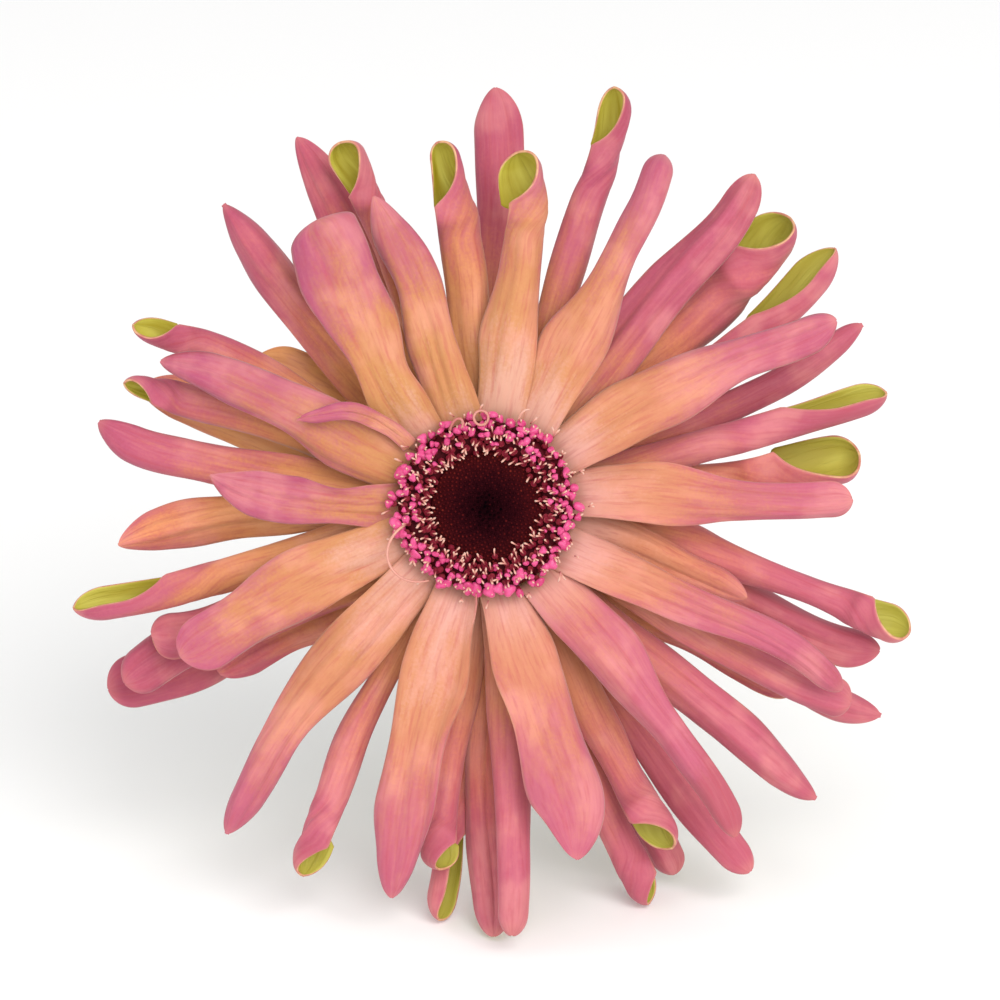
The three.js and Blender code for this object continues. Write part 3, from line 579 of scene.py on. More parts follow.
# %% The table of rays
# Angles are in degrees, and the reach is a share of MEAN_REACH. Widths are at about a quarter, two thirds
# and the tip. A roll is how far the strap bends to each side, in its middle and near its tip. A twist is
# how far it turns, where that starts and where it is done; 0 is no twist. Depths are out of the face.
RAYS = {
    "lash": [
        ((141, 142.8, 157.8), 0.52, (2.4, 2.0, 1.4), 1.0, (50, 40), (0, 0.5), (4.2, 5.0)),
    ],
    "front": [
        ((10, 3, -0.4), 0.91, (7.6, 5.1, 4.6), 0.1, (50, 45), (0, 0.5), (2.4, 2.0)),
        ((36, 32.5, 27), 0.988, (8.4, 5.2, 4.4), 0.4, (55, 60), (0, 0.5), (2.4, 2.0)),
        ((61, 62.5, 62.2), 0.984, (7.2, 4.2, 4.0), 0.1, (80, 140), (0, 0.5), (2.2, 1.0)),
        ((83, 81, 84.8), 0.89, (7.0, 5.4, 5.0), 0.0, (75, 92), (-140, 0.66, 0.98), (1.8, 1.4)),
        ((108, 108.2, 110.6), 0.826, (6.6, 5.6, 4.0), 1.0, (45, 60), (0, 0.5), (1.8, 2.0)),
        ((133, 125.5, 118.5), 0.83, (7.4, 9.0, 8.8), -0.4, (40, 45), (0, 0.5), (3.0, 3.2)),
        ((157, 154.8, 154.2), 0.892, (8.0, 6.0, 5.0), 0.8, (45, 70), (0, 0.5), (2.2, 2.0)),
        ((178, 178.7, 173.9), 0.692, (5.8, 5.4, 4.2), 1.0, (50, 50), (0, 0.5), (3.0, 4.2)),
        ((200, 202, 206), 0.848, (7.0, 6.8, 6.4), 0.1, (45, 40), (0, 0.5), (2.4, 3.0)),
        ((224, 226.8, 230.5), 1.046, (7.0, 5.0, 3.8), 0.8, (60, 90), (0, 0.5), (1.2, -2.0)),
        ((250, 253.2, 257), 1.006, (8.4, 6.6, 4.5), 0.6, (50, 70), (0, 0.5), (2.4, -2.0)),
        ((281, 286.5, 285.5), 0.9, (8.5, 8.4, 8.0), 0.7, (45, 40), (0, 0.5), (3.0, 4.6)),
        ((308, 310.3, 307.3), 1.028, (7.4, 4.6, 3.6), 0.5, (60, 70), (0, 0.5), (2.4, 0.5)),
        ((332, 335.3, 333.3), 0.994, (6.0, 4.4, 3.8), 0.3, (60, 80), (0, 0.5), (2.4, 1.0)),
    ],
    "second": [
        ((17, 15.5, 15), 1.044, (4.4, 4.2, 4.4), 0.3, (110, 105), (-116, 0.4, 0.85), (-3.0, -3.6)),
        ((49, 50, 50), 1.074, (6.2, 6.6, 5.0), 0.4, (45, 50), (0, 0.5), (-2.8, -3.0)),
        ((70, 71.6, 72), 1.104, (4.2, 4.6, 5.0), 0.2, (120, 96), (-134, 0.66, 0.98), (-3.4, -3.0)),
        ((95, 95, 99.3), 0.926, (6.0, 5.6, 4.4), 0.0, (80, 90), (-142, 0.62, 0.96), (-2.6, -2.6)),
        ((155, 157.5, 161.5), 0.964, (5.0, 4.4, 3.4), 0.3, (90, 95), (-125, 0.78, 0.98), (-3.4, -2.6)),
        ((172, 171.5, 168), 1.0, (5.8, 5.4, 4.6), 0.6, (60, 90), (0, 0.5), (-3.2, -3.6)),
        ((188, 194, 194), 1.068, (4.2, 4.0, 4.4), 0.5, (108, 106), (116, 0.5, 0.85), (-3.0, -2.4)),
        ((235.5, 239.5, 243.5), 1.034, (3.8, 4.4, 4.8), 0.3, (105, 95), (-120, 0.72, 1.0), (-2.8, -3.4)),
        ((275, 274.7, 273.2), 1.066, (4.2, 4.2, 4.0), 0.2, (120, 150), (0, 0.5), (-2.6, 2.6)),
        ((314, 317, 318.7), 1.104, (5.5, 6.0, 4.2), 1.0, (55, 90), (0, 0.5), (-3.0, -4.0)),
        ((332, 330.5, 330), 1.036, (4.8, 4.4, 4.2), 0.0, (60, 70), (0, 0.5), (-3.4, -3.0)),
        ((349, 345, 340), 0.69, (5.4, 4.6, 3.6), 0.8, (50, 50), (0, 0.5), (-2.8, -3.0)),
    ],
    "third": [
        ((5, 7, 8.5), 0.948, (5.0, 5.6, 6.2), 0.0, (80, 82), (-134, 0.46, 0.95), (-6.0, -5.4)),
        ((25, 23, 24.5), 1.056, (4.8, 4.0, 3.0), 0.8, (70, 80), (0, 0.5), (-6.2, -7.2)),
        ((112, 111, 110.5), 0.99, (4.4, 3.4, 4.8), 0.0, (105, 90), (-138, 0.7, 0.97), (-5.4, -3.4)),
        ((135, 133.5, 131), 1.014, (6.6, 5.6, 4.0), 1.0, (60, 100), (0, 0.5), (-5.4, -5.2)),
        ((150, 149.5, 150.8), 1.006, (5.0, 4.2, 4.0), 0.5, (70, 100), (124, 0.76, 0.95), (-6.2, -5.6)),
        ((179, 181, 186), 0.938, (5.8, 5.6, 4.4), 0.7, (50, 60), (0, 0.5), (-6.2, -7.0)),
        ((199, 203, 202), 0.9, (5.5, 6.0, 6.0), 0.0, (60, 80), (0, 0.5), (-4.8, -2.6)),
        ((214, 206, 205.1), 1.016, (5.5, 6.4, 6.0), 0.0, (50, 60), (0, 0.5), (-7.0, -6.0)),
        ((262, 261.5, 261.5), 0.916, (5.0, 4.4, 4.4), 0.0, (90, 100), (-126, 0.8, 1.0), (-5.6, -3.4)),
        ((286, 290.5, 291), 1.09, (4.5, 4.0, 4.4), 0.2, (110, 110), (-118, 0.82, 0.98), (-8.2, -12.2)),
        ((301, 297.5, 298.2), 0.976, (5.0, 4.4, 5.0), 0.3, (80, 88), (134, 0.74, 0.97), (-5.4, -5.0)),
        ((352, 348, 343), 1.112, (5.0, 3.4, 5.4), 0.1, (110, 86), (-138, 0.78, 0.96), (-6.0, -6.4)),
    ],
    "back": [
        ((30, 31.5, 36), 1.102, (5.0, 4.8, 4.4), 0.6, (98, 112), (-112, 0.3, 0.9), (-9.4, -10.0)),
        ((46, 43.6, 44.5), 1.062, (6.4, 6.8, 6.4), 0.1, (80, 86), (-128, 0.66, 0.95), (-9.0, -8.4)),
        ((88, 88, 87.6), 1.068, (6.0, 6.2, 5.8), 0.5, (40, 35), (0, 0.5), (-9.0, -10.0)),
        ((119, 117, 116.9), 1.058, (6.5, 7.0, 5.8), 0.9, (40, 40), (0, 0.5), (-9.4, -9.0)),
        ((144, 145.5, 147), 0.7, (6.0, 6.0, 5.0), 0.3, (40, 40), (0, 0.5), (-9.4, -10.0)),
        ((164, 159.5, 161), 0.93, (7.0, 6.6, 5.0), 0.6, (40, 50), (0, 0.5), (-9.6, -9.0)),
        ((218, 213, 209), 0.8, (7.0, 6.6, 6.0), 0.3, (45, 45), (0, 0.5), (-9.8, -9.6)),
        ((200, 206.5, 205.8), 1.072, (6.0, 7.0, 6.6), 0.0, (45, 45), (0, 0.5), (-12.8, -12.6)),
        ((257, 262.5, 264.4), 1.048, (4.8, 4.2, 4.2), 0.3, (95, 106), (-116, 0.55, 0.86), (-11.0, -7.0)),
        ((272, 270, 271.4), 1.076, (5.4, 5.2, 4.8), 0.4, (50, 50), (0, 0.5), (-7.6, -2.6)),
        ((291, 295.5, 296.4), 1.056, (5.0, 5.0, 4.8), 0.0, (60, 70), (0, 0.5), (-10.0, -17.0)),
        ((306, 304, 304.8), 1.14, (5.5, 5.2, 4.6), 0.2, (60, 90), (0, 0.5), (-9.6, -10.0)),
        ((321, 327.5, 329), 0.9, (6.5, 6.0, 5.0), 0.5, (45, 45), (0, 0.5), (-9.4, -8.4)),
        ((335, 331.5, 331.1), 1.136, (4.6, 4.2, 4.0), 1.0, (60, 90), (0, 0.5), (-12.0, -13.0)),
        ((350, 341.5, 339.7), 1.06, (5.4, 5.0, 4.6), 0.5, (50, 50), (0, 0.5), (-9.4, -9.6)),
    ],
}
# How far the colours of each row go from the front row's towards the painted light and shade of the rows
# further back.
BACK_ROW_PAINTED_LIGHT = {"lash": 0.0, "front": 0.0, "second": 0.4, "third": 0.65, "back": 0.85}
# A ray above 0 turns pink nearer the disc than others, and one below 0 stays peach further out.
RIPENESS = {
    "lash": {1: 0.3},
    "front": {3: -0.05, 4: -0.05, 5: 0.1, 7: 0.14, 8: 0.2, 9: -0.05, 10: -0.08, 11: -0.1, 13: 0.14, 14: 0.1},
    "second": {1: 0.12, 2: 0.1, 3: 0.06, 4: -0.04, 6: 0.08, 7: -0.1, 10: 0.08, 12: -0.12},
    "third": {1: -0.1, 2: 0.1, 6: -0.22, 11: -0.05},
    "back": {3: 0.06, 5: -0.3, 6: -0.26, 8: 0.05, 13: -0.12},
}
print({row: len(rays) for row, rays in RAYS.items()})

# %% [markdown]
# ## From points to a piece
# A mesh in Blender is a list of points and a list of faces. These helpers make the faces of a grid, give
# the mesh its finishes, and store numbers on its points for the finishes to read. Each piece rides on
# the flower's one body, and hides the frame's solids that it stands in for where it is given them.

# %% Meshes


def grid_faces(rows, columns):
    """Four-sided faces between the points of a grid, row after row."""
    corner = np.arange(rows * columns).reshape(rows, columns)
    quads = np.stack([corner[:-1, :-1], corner[1:, :-1], corner[1:, 1:], corner[:-1, 1:]], -1)
    return quads.reshape(-1, 4).tolist()


def store(mesh, name, values):
    """Puts a number on every point of the mesh."""
    attribute = mesh.attributes.new(name, "FLOAT", "POINT")
    attribute.data.foreach_set("value", np.asarray(values, dtype=np.float32).ravel())


def new_piece(name, points, faces, finishes, replaced=()):
    """A smooth mesh that rides on the flower. Points are in mm in the flower's frame."""
    mesh = bpy.data.meshes.new(name)
    mesh.from_pydata((np.asarray(points) * MM).tolist(), [], faces)
    mesh.polygons.foreach_set("use_smooth", [True] * len(mesh.polygons))
    for finish in finishes:
        mesh.materials.append(finish)
    piece = bpy.data.objects.new(name, mesh)
    bpy.context.collection.objects.link(piece)
    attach(piece, "root")
    if replaced:
        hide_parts(*replaced)
    return piece


print("a strap has", len(grid_faces(STATIONS, ACROSS)), "faces before it gets its thickness")

# %% [markdown]
# ## Fifty-four petals
# The loop now makes every ray. What the finishes need is stored on the points: where they lie along and
# across the strap and out from the middle, how pink that side of the flower is and how much light is
# painted on it, and a tone by which neighbours differ. Solidify makes the flesh last, so the numbers are
# on both of its sides.

# %% The rays
PINKEST_AND_LIT_SIDE = math.radians(315)
FURTHEST = 60


def make_ray(name, row, ray, ripeness, seed):
    points, t, v = strap_grid(row, *ray, seed)
    flat = points.reshape(-1, 3)
    piece = new_piece("petal_" + name, on_face(flat), grid_faces(STATIONS, ACROSS), RAY_FINISHES,
                      (name,))
    store(piece.data, "along", np.repeat(t, ACROSS))
    store(piece.data, "across", np.tile(v, STATIONS))
    # Rays on the lower right are pinker, those on the upper left are more peach.
    # The same number paints light on the lower right: paler feet by the disc and a lighter underside.
    round_face = np.arctan2(flat[:, 1], flat[:, 0]) - PINKEST_AND_LIT_SIDE
    radius = np.hypot(flat[:, 0], flat[:, 1]) / FURTHEST
    store(piece.data, "radius", radius)
    store(piece.data, "pink_and_lit_side", 0.5 + 0.5 * np.cos(round_face))
    store(piece.data, "out", radius + 0.03 * np.cos(round_face) + ripeness)
    store(piece.data, "tone", np.full(len(flat), random.Random(seed * 17).random()))
    store(piece.data, "behind", np.full(len(flat), BACK_ROW_PAINTED_LIGHT[row]))
    flesh = piece.modifiers.new("flesh", "SOLIDIFY")
    flesh.thickness = STRAP_THICKNESS * MM
    flesh.offset = 0
    flesh.material_offset = 1
    flesh.material_offset_rim = 2
    return piece


petals = []
for row, rays in RAYS.items():
    for number, ray in enumerate(rays, start=1):
        name = f"ray_{row}_{number:02}" if len(rays) > 1 else f"ray_{row}"
        petals.append(make_ray(name, row, ray, RIPENESS[row].get(number, 0), seed=len(petals) + 1))
print(len(petals), "rays")

# %% [markdown]
# ## Small parts by the hundred
# The disc is made of hundreds of tiny florets. Modelling each as an object of its own would be slow to
# place and slow to draw, so small shapes are gathered in a pile that becomes one mesh. Most of them are
# tubes: corollas, stigmas and stray threads. What is round the flower's axis is an outline that is turned.

# %% Piles of small shapes


class Pile:
    """Small shapes gathered into one mesh, each point with a tone between 0 and 1."""

    def __init__(self):
        self.points, self.faces, self.tones = [], [], []

    def put(self, points, faces, tones):
        first = len(self.points)
        self.points.extend(np.asarray(points).tolist())
        self.faces.extend([first + corner for corner in face] for face in faces)
        self.tones.extend(np.broadcast_to(tones, len(points)).tolist())

    def piece(self, name, finish, slot, replaced=()):
        """Turns the pile into one piece of the flower."""
        made = new_piece(name, self.points, self.faces, [finish], replaced)
        store(made.data, "tone", self.tones)
        return made


def ring_faces(rings, sides, first=0, outward=True):
    """Four-sided faces between closed rings of points that follow one another from the first point."""
    faces = []
    for ring in range(rings - 1):
        here, there = first + ring * sides, first + (ring + 1) * sides
        for k in range(sides):
            after = (k + 1) % sides
            if outward:
                faces.append((here + k, here + after, there + after, there + k))
            else:
                faces.append((here + k, there + k, there + after, here + after))
    return faces


def tube(path, radii, sides):
    """Points and faces of a round tube along a path, closed at both ends."""
    path = np.asarray(path, dtype=float)
    radii = np.broadcast_to(radii, len(path))
    forward = np.gradient(path, axis=0)
    forward /= np.linalg.norm(forward, axis=1, keepdims=True)
    # The rings are set square to the path with one handy direction, the same along the whole path.
    handy = np.where(np.abs(forward[:, 1:2]) < 0.8, [[0.0, 1.0, 0.0]], [[1.0, 0.0, 0.0]])
    if len(np.unique(handy, axis=0)) > 1:
        handy = np.tile([0.57, -0.2, 0.8], (len(path), 1))
    side = np.cross(handy, forward)
    side /= np.linalg.norm(side, axis=1, keepdims=True)
    other = np.cross(forward, side)
    around = np.linspace(0, 2 * math.pi, sides, endpoint=False)
    ring = side[:, None] * np.cos(around)[:, None] + other[:, None] * np.sin(around)[:, None]
    points = (path[:, None] + ring * radii[:, None, None]).reshape(-1, 3)
    faces = ring_faces(len(path), sides)
    faces.append(tuple(range(sides))[::-1])
    faces.append(tuple((len(path) - 1) * sides + k for k in range(sides)))
    return points, faces


def curve(points, steps):
    """A smooth path through a few points, each used as a pull in a Bezier curve of any degree."""
    points = np.asarray(points, dtype=float)
    degree = len(points) - 1
    t = np.linspace(0, 1, steps)[:, None]
    return sum(math.comb(degree, i) * (1 - t) ** (degree - i) * t ** i * p for i, p in enumerate(points))


def turned(outline, steps, wave=None):
    """Points and faces of an outline of (radius, out) turned round the face's axis."""
    outline = np.asarray(outline, dtype=float)
    turn = np.linspace(0, 2 * math.pi, steps, endpoint=False)
    radius = outline[:, 0] + (wave(turn[:, None], outline[None, :, 0]) if wave else np.zeros((steps, 1)))
    right, up = np.cos(turn)[:, None] * radius, np.sin(turn)[:, None] * radius
    points = np.stack([right, up, np.broadcast_to(outline[:, 1], radius.shape)], -1).reshape(-1, 3)
    rows = len(outline)
    faces = []
    for k in range(steps):
        here, there = k * rows, (k + 1) % steps * rows
        for row in range(rows - 1):
            faces.append((here + row, there + row, there + row + 1, here + row + 1))
    return points, faces


print("a tube of 3 stations has", len(tube([(0, 0, 0), (0, 0, 1), (0, 0, 2)], 1, 6)[0]), "points")

# %% [markdown]
# ## Finishes of the disc
# The unopened buds are so dark a maroon that they look black in the middle. The opened florets are
# maroon tubes with pink lips, and their stigmas are cream at the tip. Each finish reads the tone that
# was stored with every point, which runs from the foot of a part to its tip.

# %% Finish: buds, tubes, lips and stigmas


def toned_finish(name, stops, roughness, gloss=None, mottle=0.25):
    """A finish whose colour follows the tone, broken up by fine mottling. Also its shader."""
    material, tree, shader = new_finish(name)
    cloud = speckle(tree, 2600.0, 2.0)
    place = maths(tree, "ADD", stored(tree, "tone"), push(tree, cloud, mottle))
    skin(tree, shader, ramp(tree, place, stops), roughness, gloss)
    relief(tree, shader, cloud, 0.25, 0.00005)
    return material, shader


BUD_FINISH, _ = toned_finish("unopened_buds", [
    (0.0, (4, 0, 3)), (0.25, (40, 6, 12)), (0.6, (78, 18, 20)), (1.0, (110, 36, 28)),
], 0.85, 0.02, 0.3)
TUBE_FINISH, _ = toned_finish("floret_tubes", [
    (0.0, (78, 8, 20)), (0.5, (112, 20, 38)), (1.0, (190, 84, 90)),
], 0.6, 0.1)
LIP_FINISH, lip_shader = toned_finish("floret_lips", [
    (0.0, (170, 30, 86)), (0.45, (206, 66, 124)), (0.8, (222, 98, 150)), (1.0, (232, 156, 176)),
], 0.38, mottle=0.35)
flesh_glow(lip_shader, 0.15, (0.0006, 0.0002, 0.0003))
STIGMA_FINISH, stigma_shader = toned_finish("stigmas", [
    (0.0, (130, 36, 52)), (0.35, (178, 100, 96)), (0.65, (206, 148, 130)), (1.0, (212, 172, 156)),
], 0.45, mottle=0.2)
flesh_glow(stigma_shader, 0.2, (0.0004, 0.0002, 0.0002))
print("disc finishes:", BUD_FINISH.name, TUBE_FINISH.name, LIP_FINISH.name, STIGMA_FINISH.name)

# %% [markdown]
# ## The unopened buds in the middle
# Disc florets open from the rim inwards, and the middle is still a cushion of tight buds. They stand in
# the same spiral as sunflower seeds: each bud turns on by the golden angle. One small dome is repeated
# along that spiral, with a dark plate under it that closes the gaps.

# %% The eye of buds
GOLDEN_ANGLE = math.pi * (3 - math.sqrt(5))
EYE_BUDS, EYE_REACH, BUD_SIDES = 560, 6.9, 6
PLATE_RINGS, PLATE_SIDES = 12, 48
dice = random.Random(11)


def eye_depth(radius):
    """The cushion of buds: a low dome with a dimple."""
    share = radius / EYE_REACH
    return 2.55 + 0.95 * math.sin(math.pi * min(0.22 + 0.72 * share, 1.0)) - 0.55 * (1 - share) ** 2


def bud(centre, size, height, lean_out):
    """One bud: a little dome of two rings and a tip, leaning outwards."""
    around = np.arange(BUD_SIDES) * 2 * math.pi / BUD_SIDES
    ring = np.stack([np.cos(around), np.sin(around), 0 * around], 1) * size
    waist = centre + lean_out * 0.6 + ring * 0.72 + [0, 0, height * 0.7]
    top = centre + lean_out + [0, 0, height]
    faces = ring_faces(2, BUD_SIDES)
    faces += [(BUD_SIDES + k, BUD_SIDES + (k + 1) % BUD_SIDES, 2 * BUD_SIDES) for k in range(BUD_SIDES)]
    return np.vstack([centre + ring, waist, top]), faces


buds = Pile()
for number in range(EYE_BUDS):
    radius = EYE_REACH * math.sqrt((number + 0.5) / EYE_BUDS)
    turn = number * GOLDEN_ANGLE
    spot = np.array([math.cos(turn) * radius, math.sin(turn) * radius, eye_depth(radius)])
    lean_out = np.array([math.cos(turn), math.sin(turn), 0]) * 0.05
    points, faces = bud(spot, 0.17 + 0.02 * dice.random(), 0.3 + 0.12 * dice.random(), lean_out)
    tone = (radius / EYE_REACH) ** 1.2 * 0.74 + dice.uniform(-0.12, 0.12) + (dice.random() < 0.06) * 0.25
    buds.put(on_face(points), faces, np.clip(np.linspace(tone - 0.1, tone + 0.02, len(points)), 0, 1))
plate_outline = [(radius, eye_depth(radius) + 0.03) for radius in np.linspace(EYE_REACH, 0.02, PLATE_RINGS)]
plate, plate_faces = turned(plate_outline, PLATE_SIDES)
buds.put(on_face(plate), plate_faces, np.tile(np.linspace(0.42, 0.05, PLATE_RINGS), PLATE_SIDES))
buds.piece("eye_of_buds", BUD_FINISH, "disc_eye", ("disc_eye",))
print(EYE_BUDS, "buds")

# %% [markdown]
# ## Lips and stigmas
# Round the eye the florets have opened. A floret has a maroon tube, a stigma like a tiny cream club and,
# on the outer ones, a pink lip of two or three rounded lobes. A lip is a domed disc whose edge swells in
# and out with a cosine: enough at this size, and light enough to be repeated hundreds of times.

# %% One lip and one stigma
LIP_RINGS, LIP_SIDES = 4, 18
STIGMA_ROWS, STIGMA_SIDES = 6, 7
dice = random.Random(29)


def lip(centre, across, away, size, dome, lobes):
    """A domed lip with rounded lobes. Across and away span it, and it swells out of their plane."""
    swell = np.cross(across, away)
    points, tones = [centre + swell * dome], [0.55]
    phase = dice.random() * 6.28
    for ring in range(1, LIP_RINGS + 1):
        share = ring / LIP_RINGS
        rise = dome * (1 - share ** 2.2) - 0.1 * share ** 4
        for turn in np.arange(LIP_SIDES) * 2 * math.pi / LIP_SIDES:
            edge = 1 + 0.16 * math.cos(lobes * turn + phase) + 0.06 * math.cos(2 * turn + phase * 2)
            reach = size * edge * share
            aside = across * math.cos(turn) * reach * 0.92
            points.append(centre + aside + away * math.sin(turn) * reach + swell * rise)
            # Paler at the rim, and one half of each lip paler than the other: a painted highlight.
            tones.append(0.55 - 0.25 * share + 0.5 * share ** 6 + 0.25 * math.sin(turn) * share)
    faces = [(0, 1 + k, 1 + (k + 1) % LIP_SIDES) for k in range(LIP_SIDES)]
    faces += ring_faces(LIP_RINGS, LIP_SIDES, first=1, outward=False)
    # One point underneath closes the lip.
    rim = 1 + (LIP_RINGS - 1) * LIP_SIDES
    faces += [(rim + (k + 1) % LIP_SIDES, rim + k, len(points)) for k in range(LIP_SIDES)]
    return points + [centre - swell * 0.35], faces, np.clip(tones + [0.0], 0, 1)


def stigma(pile, foot, heading, length, thick, forked):
    """A cream club on a short stalk, sometimes split into two curled arms."""
    bend = np.array([dice.uniform(-0.4, 0.4), dice.uniform(-0.4, 0.4), dice.uniform(0.1, 0.5)]) * length
    arms = [1.0, -1.0] if forked else [0.0]
    for arm in arms:
        sideways = np.cross(heading, [0, 0, 1.0]) * arm * length * 0.42
        middle, end = foot + heading * length * 0.5 + bend * 0.5, foot + heading * length + sideways
        radii = thick * np.array([0.75, 0.7, 0.75, 0.95, 1.15, 0.7])
        points, faces = tube(curve([foot, middle, end], STIGMA_ROWS), radii, STIGMA_SIDES)
        pile.put(on_face(points), faces, np.repeat(np.linspace(0.1, 1.0, STIGMA_ROWS), STIGMA_SIDES))


def direction(turn, tilt):
    """A unit heading: turned round the face, and tilted out of it by so many radians."""
    return np.array([math.cos(turn) * math.cos(tilt), math.sin(turn) * math.cos(tilt), math.sin(tilt)])


print("a floret has a tube, a stigma and perhaps a lip of", 2 + LIP_RINGS * LIP_SIDES, "points")

# %% [markdown]
# ## The circles of open florets
# The innermost florets lean their stigmas in over the eye, and those further out spread bigger lips.
# They crowd, so no two point quite the same way. Each circle is made by a loop with a little chance in
# it, and the dice are seeded, so that the flower comes out the same every time.

# %% The ring of open florets
# For each circle: how many, radius, how far out it stands, share with lips, size of a lip, length of a
# stigma, and how much the stigmas lean inwards.
CIRCLES = [
    (42, 7.3, 3.4, 0.0, 0.0, 0.95, 0.9),
    (50, 7.9, 3.7, 0.08, 0.35, 0.9, 0.7),
    (56, 8.6, 3.9, 0.3, 0.4, 0.85, 0.3),
    (60, 9.3, 4.0, 0.5, 0.46, 0.85, 0.0),
    (60, 10.0, 3.8, 0.65, 0.54, 0.85, -0.2),
    (58, 10.7, 3.4, 0.8, 0.66, 0.8, -0.4),
    (54, 11.5, 2.9, 0.92, 0.76, 0.85, -0.6),
]
# The ring is a touch wider than it is high, and its middle is a little aside from the cushion's.
RING_SHIFT, RING_FLATTER = np.array([-0.2, 0.3, 0]), np.array([1.0, 0.97, 1.0])
STIGMA_THICK = 0.12
TUBE_SIDES = 8


def put_lip(mouth, turn, outward, lip_size):
    """A lip on a floret's mouth, facing outwards and up."""
    facing = direction(turn + dice.uniform(-0.5, 0.5), dice.uniform(0.55, 1.25))
    across = np.cross(facing, [0, 0, 1.0])
    across /= np.linalg.norm(across)
    size = lip_size * dice.uniform(0.65, 1.25)
    centre = mouth + outward * dice.uniform(0.1, 0.45) + [0, 0, dice.uniform(-0.1, 0.3)]
    dome, lobes = size * dice.uniform(0.3, 0.6), dice.choice((2, 3, 3))
    points, faces, tones = lip(centre, across, np.cross(facing, across), size, dome, lobes)
    lips.put(on_face(points), faces, np.clip(tones + dice.uniform(-0.15, 0.15), 0, 1))


def put_stigma(mouth, turn, stalk, inward):
    """A stigma out of a floret's mouth, over the eye or away from it."""
    aim = turn + math.pi if dice.random() < 0.5 + inward / 2 else turn
    heading = direction(aim + dice.uniform(-0.8, 0.8), dice.uniform(0.1, 0.75))
    length = stalk * dice.uniform(0.65, 1.15)
    stigma(stigmas, mouth + [0, 0, 0.1], heading, length, STIGMA_THICK, dice.random() < 0.12)


tubes, lips, stigmas = Pile(), Pile(), Pile()
for count, ring_radius, height, lipped, lip_size, stalk, inward in CIRCLES:
    for number in range(count):
        turn = (number + dice.uniform(-0.35, 0.35)) * 2 * math.pi / count + ring_radius
        radius = ring_radius * 0.965 + dice.uniform(-0.45, 0.45)
        outward = direction(turn, 0)
        spot = outward * radius * RING_FLATTER + RING_SHIFT + [0, 0, height]
        mouth = spot + [dice.uniform(-0.15, 0.15), dice.uniform(-0.15, 0.15), dice.uniform(-0.25, 0.25)]
        lean = outward * (ring_radius - 7.4) * 0.16
        foot = mouth - lean - [0, 0, 1.9]
        path = curve([foot, (foot + mouth) / 2 - lean * 0.3, mouth], 5)
        radii = np.array([0.2, 0.24, 0.3, 0.4, 0.3]) * dice.uniform(0.85, 1.2)
        points, faces = tube(path, radii, TUBE_SIDES)
        tones = [0.0, 0.1, 0.3, 0.55 + 0.4 * dice.random(), 0.5]
        tubes.put(on_face(points), faces, np.repeat(tones, TUBE_SIDES))
        if dice.random() < lipped:
            put_lip(mouth, turn, outward, lip_size)
        if dice.random() < 0.9:
            put_stigma(mouth, turn, stalk, inward)

# The bed they stand in: dark maroon, seen only between them.
BED_OUTLINE = [(10.9, 1.2), (10.7, 1.9), (10.2, 2.5), (9.4, 2.9), (8.0, 2.7), (6.8, 2.3), (6.2, 1.5)]
bed, bed_faces = turned(BED_OUTLINE, 72)
tubes.put(on_face(bed * RING_FLATTER + RING_SHIFT), bed_faces, 0.0)
tubes.piece("floret_tubes", TUBE_FINISH, "disc_crown", ("disc_crown",))
lips.piece("floret_lips", LIP_FINISH, "disc_crown")
print(sum(circle[0] for circle in CIRCLES), "open florets")

# %% [markdown]
# ## Strays
# A few threads have come loose, as they do on a flower that has been handled: one coiled into a loop at
# the top of the ring, one long arc on the left, and short hooks. Stigmas of the outermost florets lie on
# the feet of the rays. A thread is a tube along a few listed points, given as right, up and out.

# %% Loose threads
THREAD_SIDES = 8
LOOP_MIDDLE, LOOP_RADIUS = (-0.75, 11.2), 0.9
OUTERMOST = 16
# For each thread: its points, how thick it is, how many rings it has, and its tone at both ends.
THREADS = [
    ([(-0.3, 10.3, 4.0), (-0.9, 9.9, 4.2), (0.2, 9.6, 4.1)], 0.17, 18, (0.6, 0.9)),
    ([(-9.9, -1.9, 3.4), (-14.4, -4.4, 4.6), (-12.4, -10.2, 4.6), (-7.2, -9.0, 4.4)], 0.19, 26, (0.62, 0.55)),
    ([(-1.4, -10.6, 3.4), (-1.2, -12.2, 3.6), (-1.75, -14.4, 3.0)], 0.1, 18, (0.3, 0.55)),
    ([(-4.6, 9.6, 3.9), (-4.2, 11.9, 4.6), (-2.4, 11.2, 4.2), (-3.2, 9.9, 4.4)], 0.18, 18, (0.3, 0.5)),
    ([(3.9, 11.0, 3.4), (4.4, 12.4, 4.2), (5.3, 12.2, 3.8)], 0.14, 18, (0.6, 0.9)),
]


def thread(path, thick, tones):
    """One thread: a tube along its path, with a tone at each ring."""
    made, faces = tube(path, thick, THREAD_SIDES)
    stigmas.put(on_face(made), faces, np.repeat(tones, THREAD_SIDES))


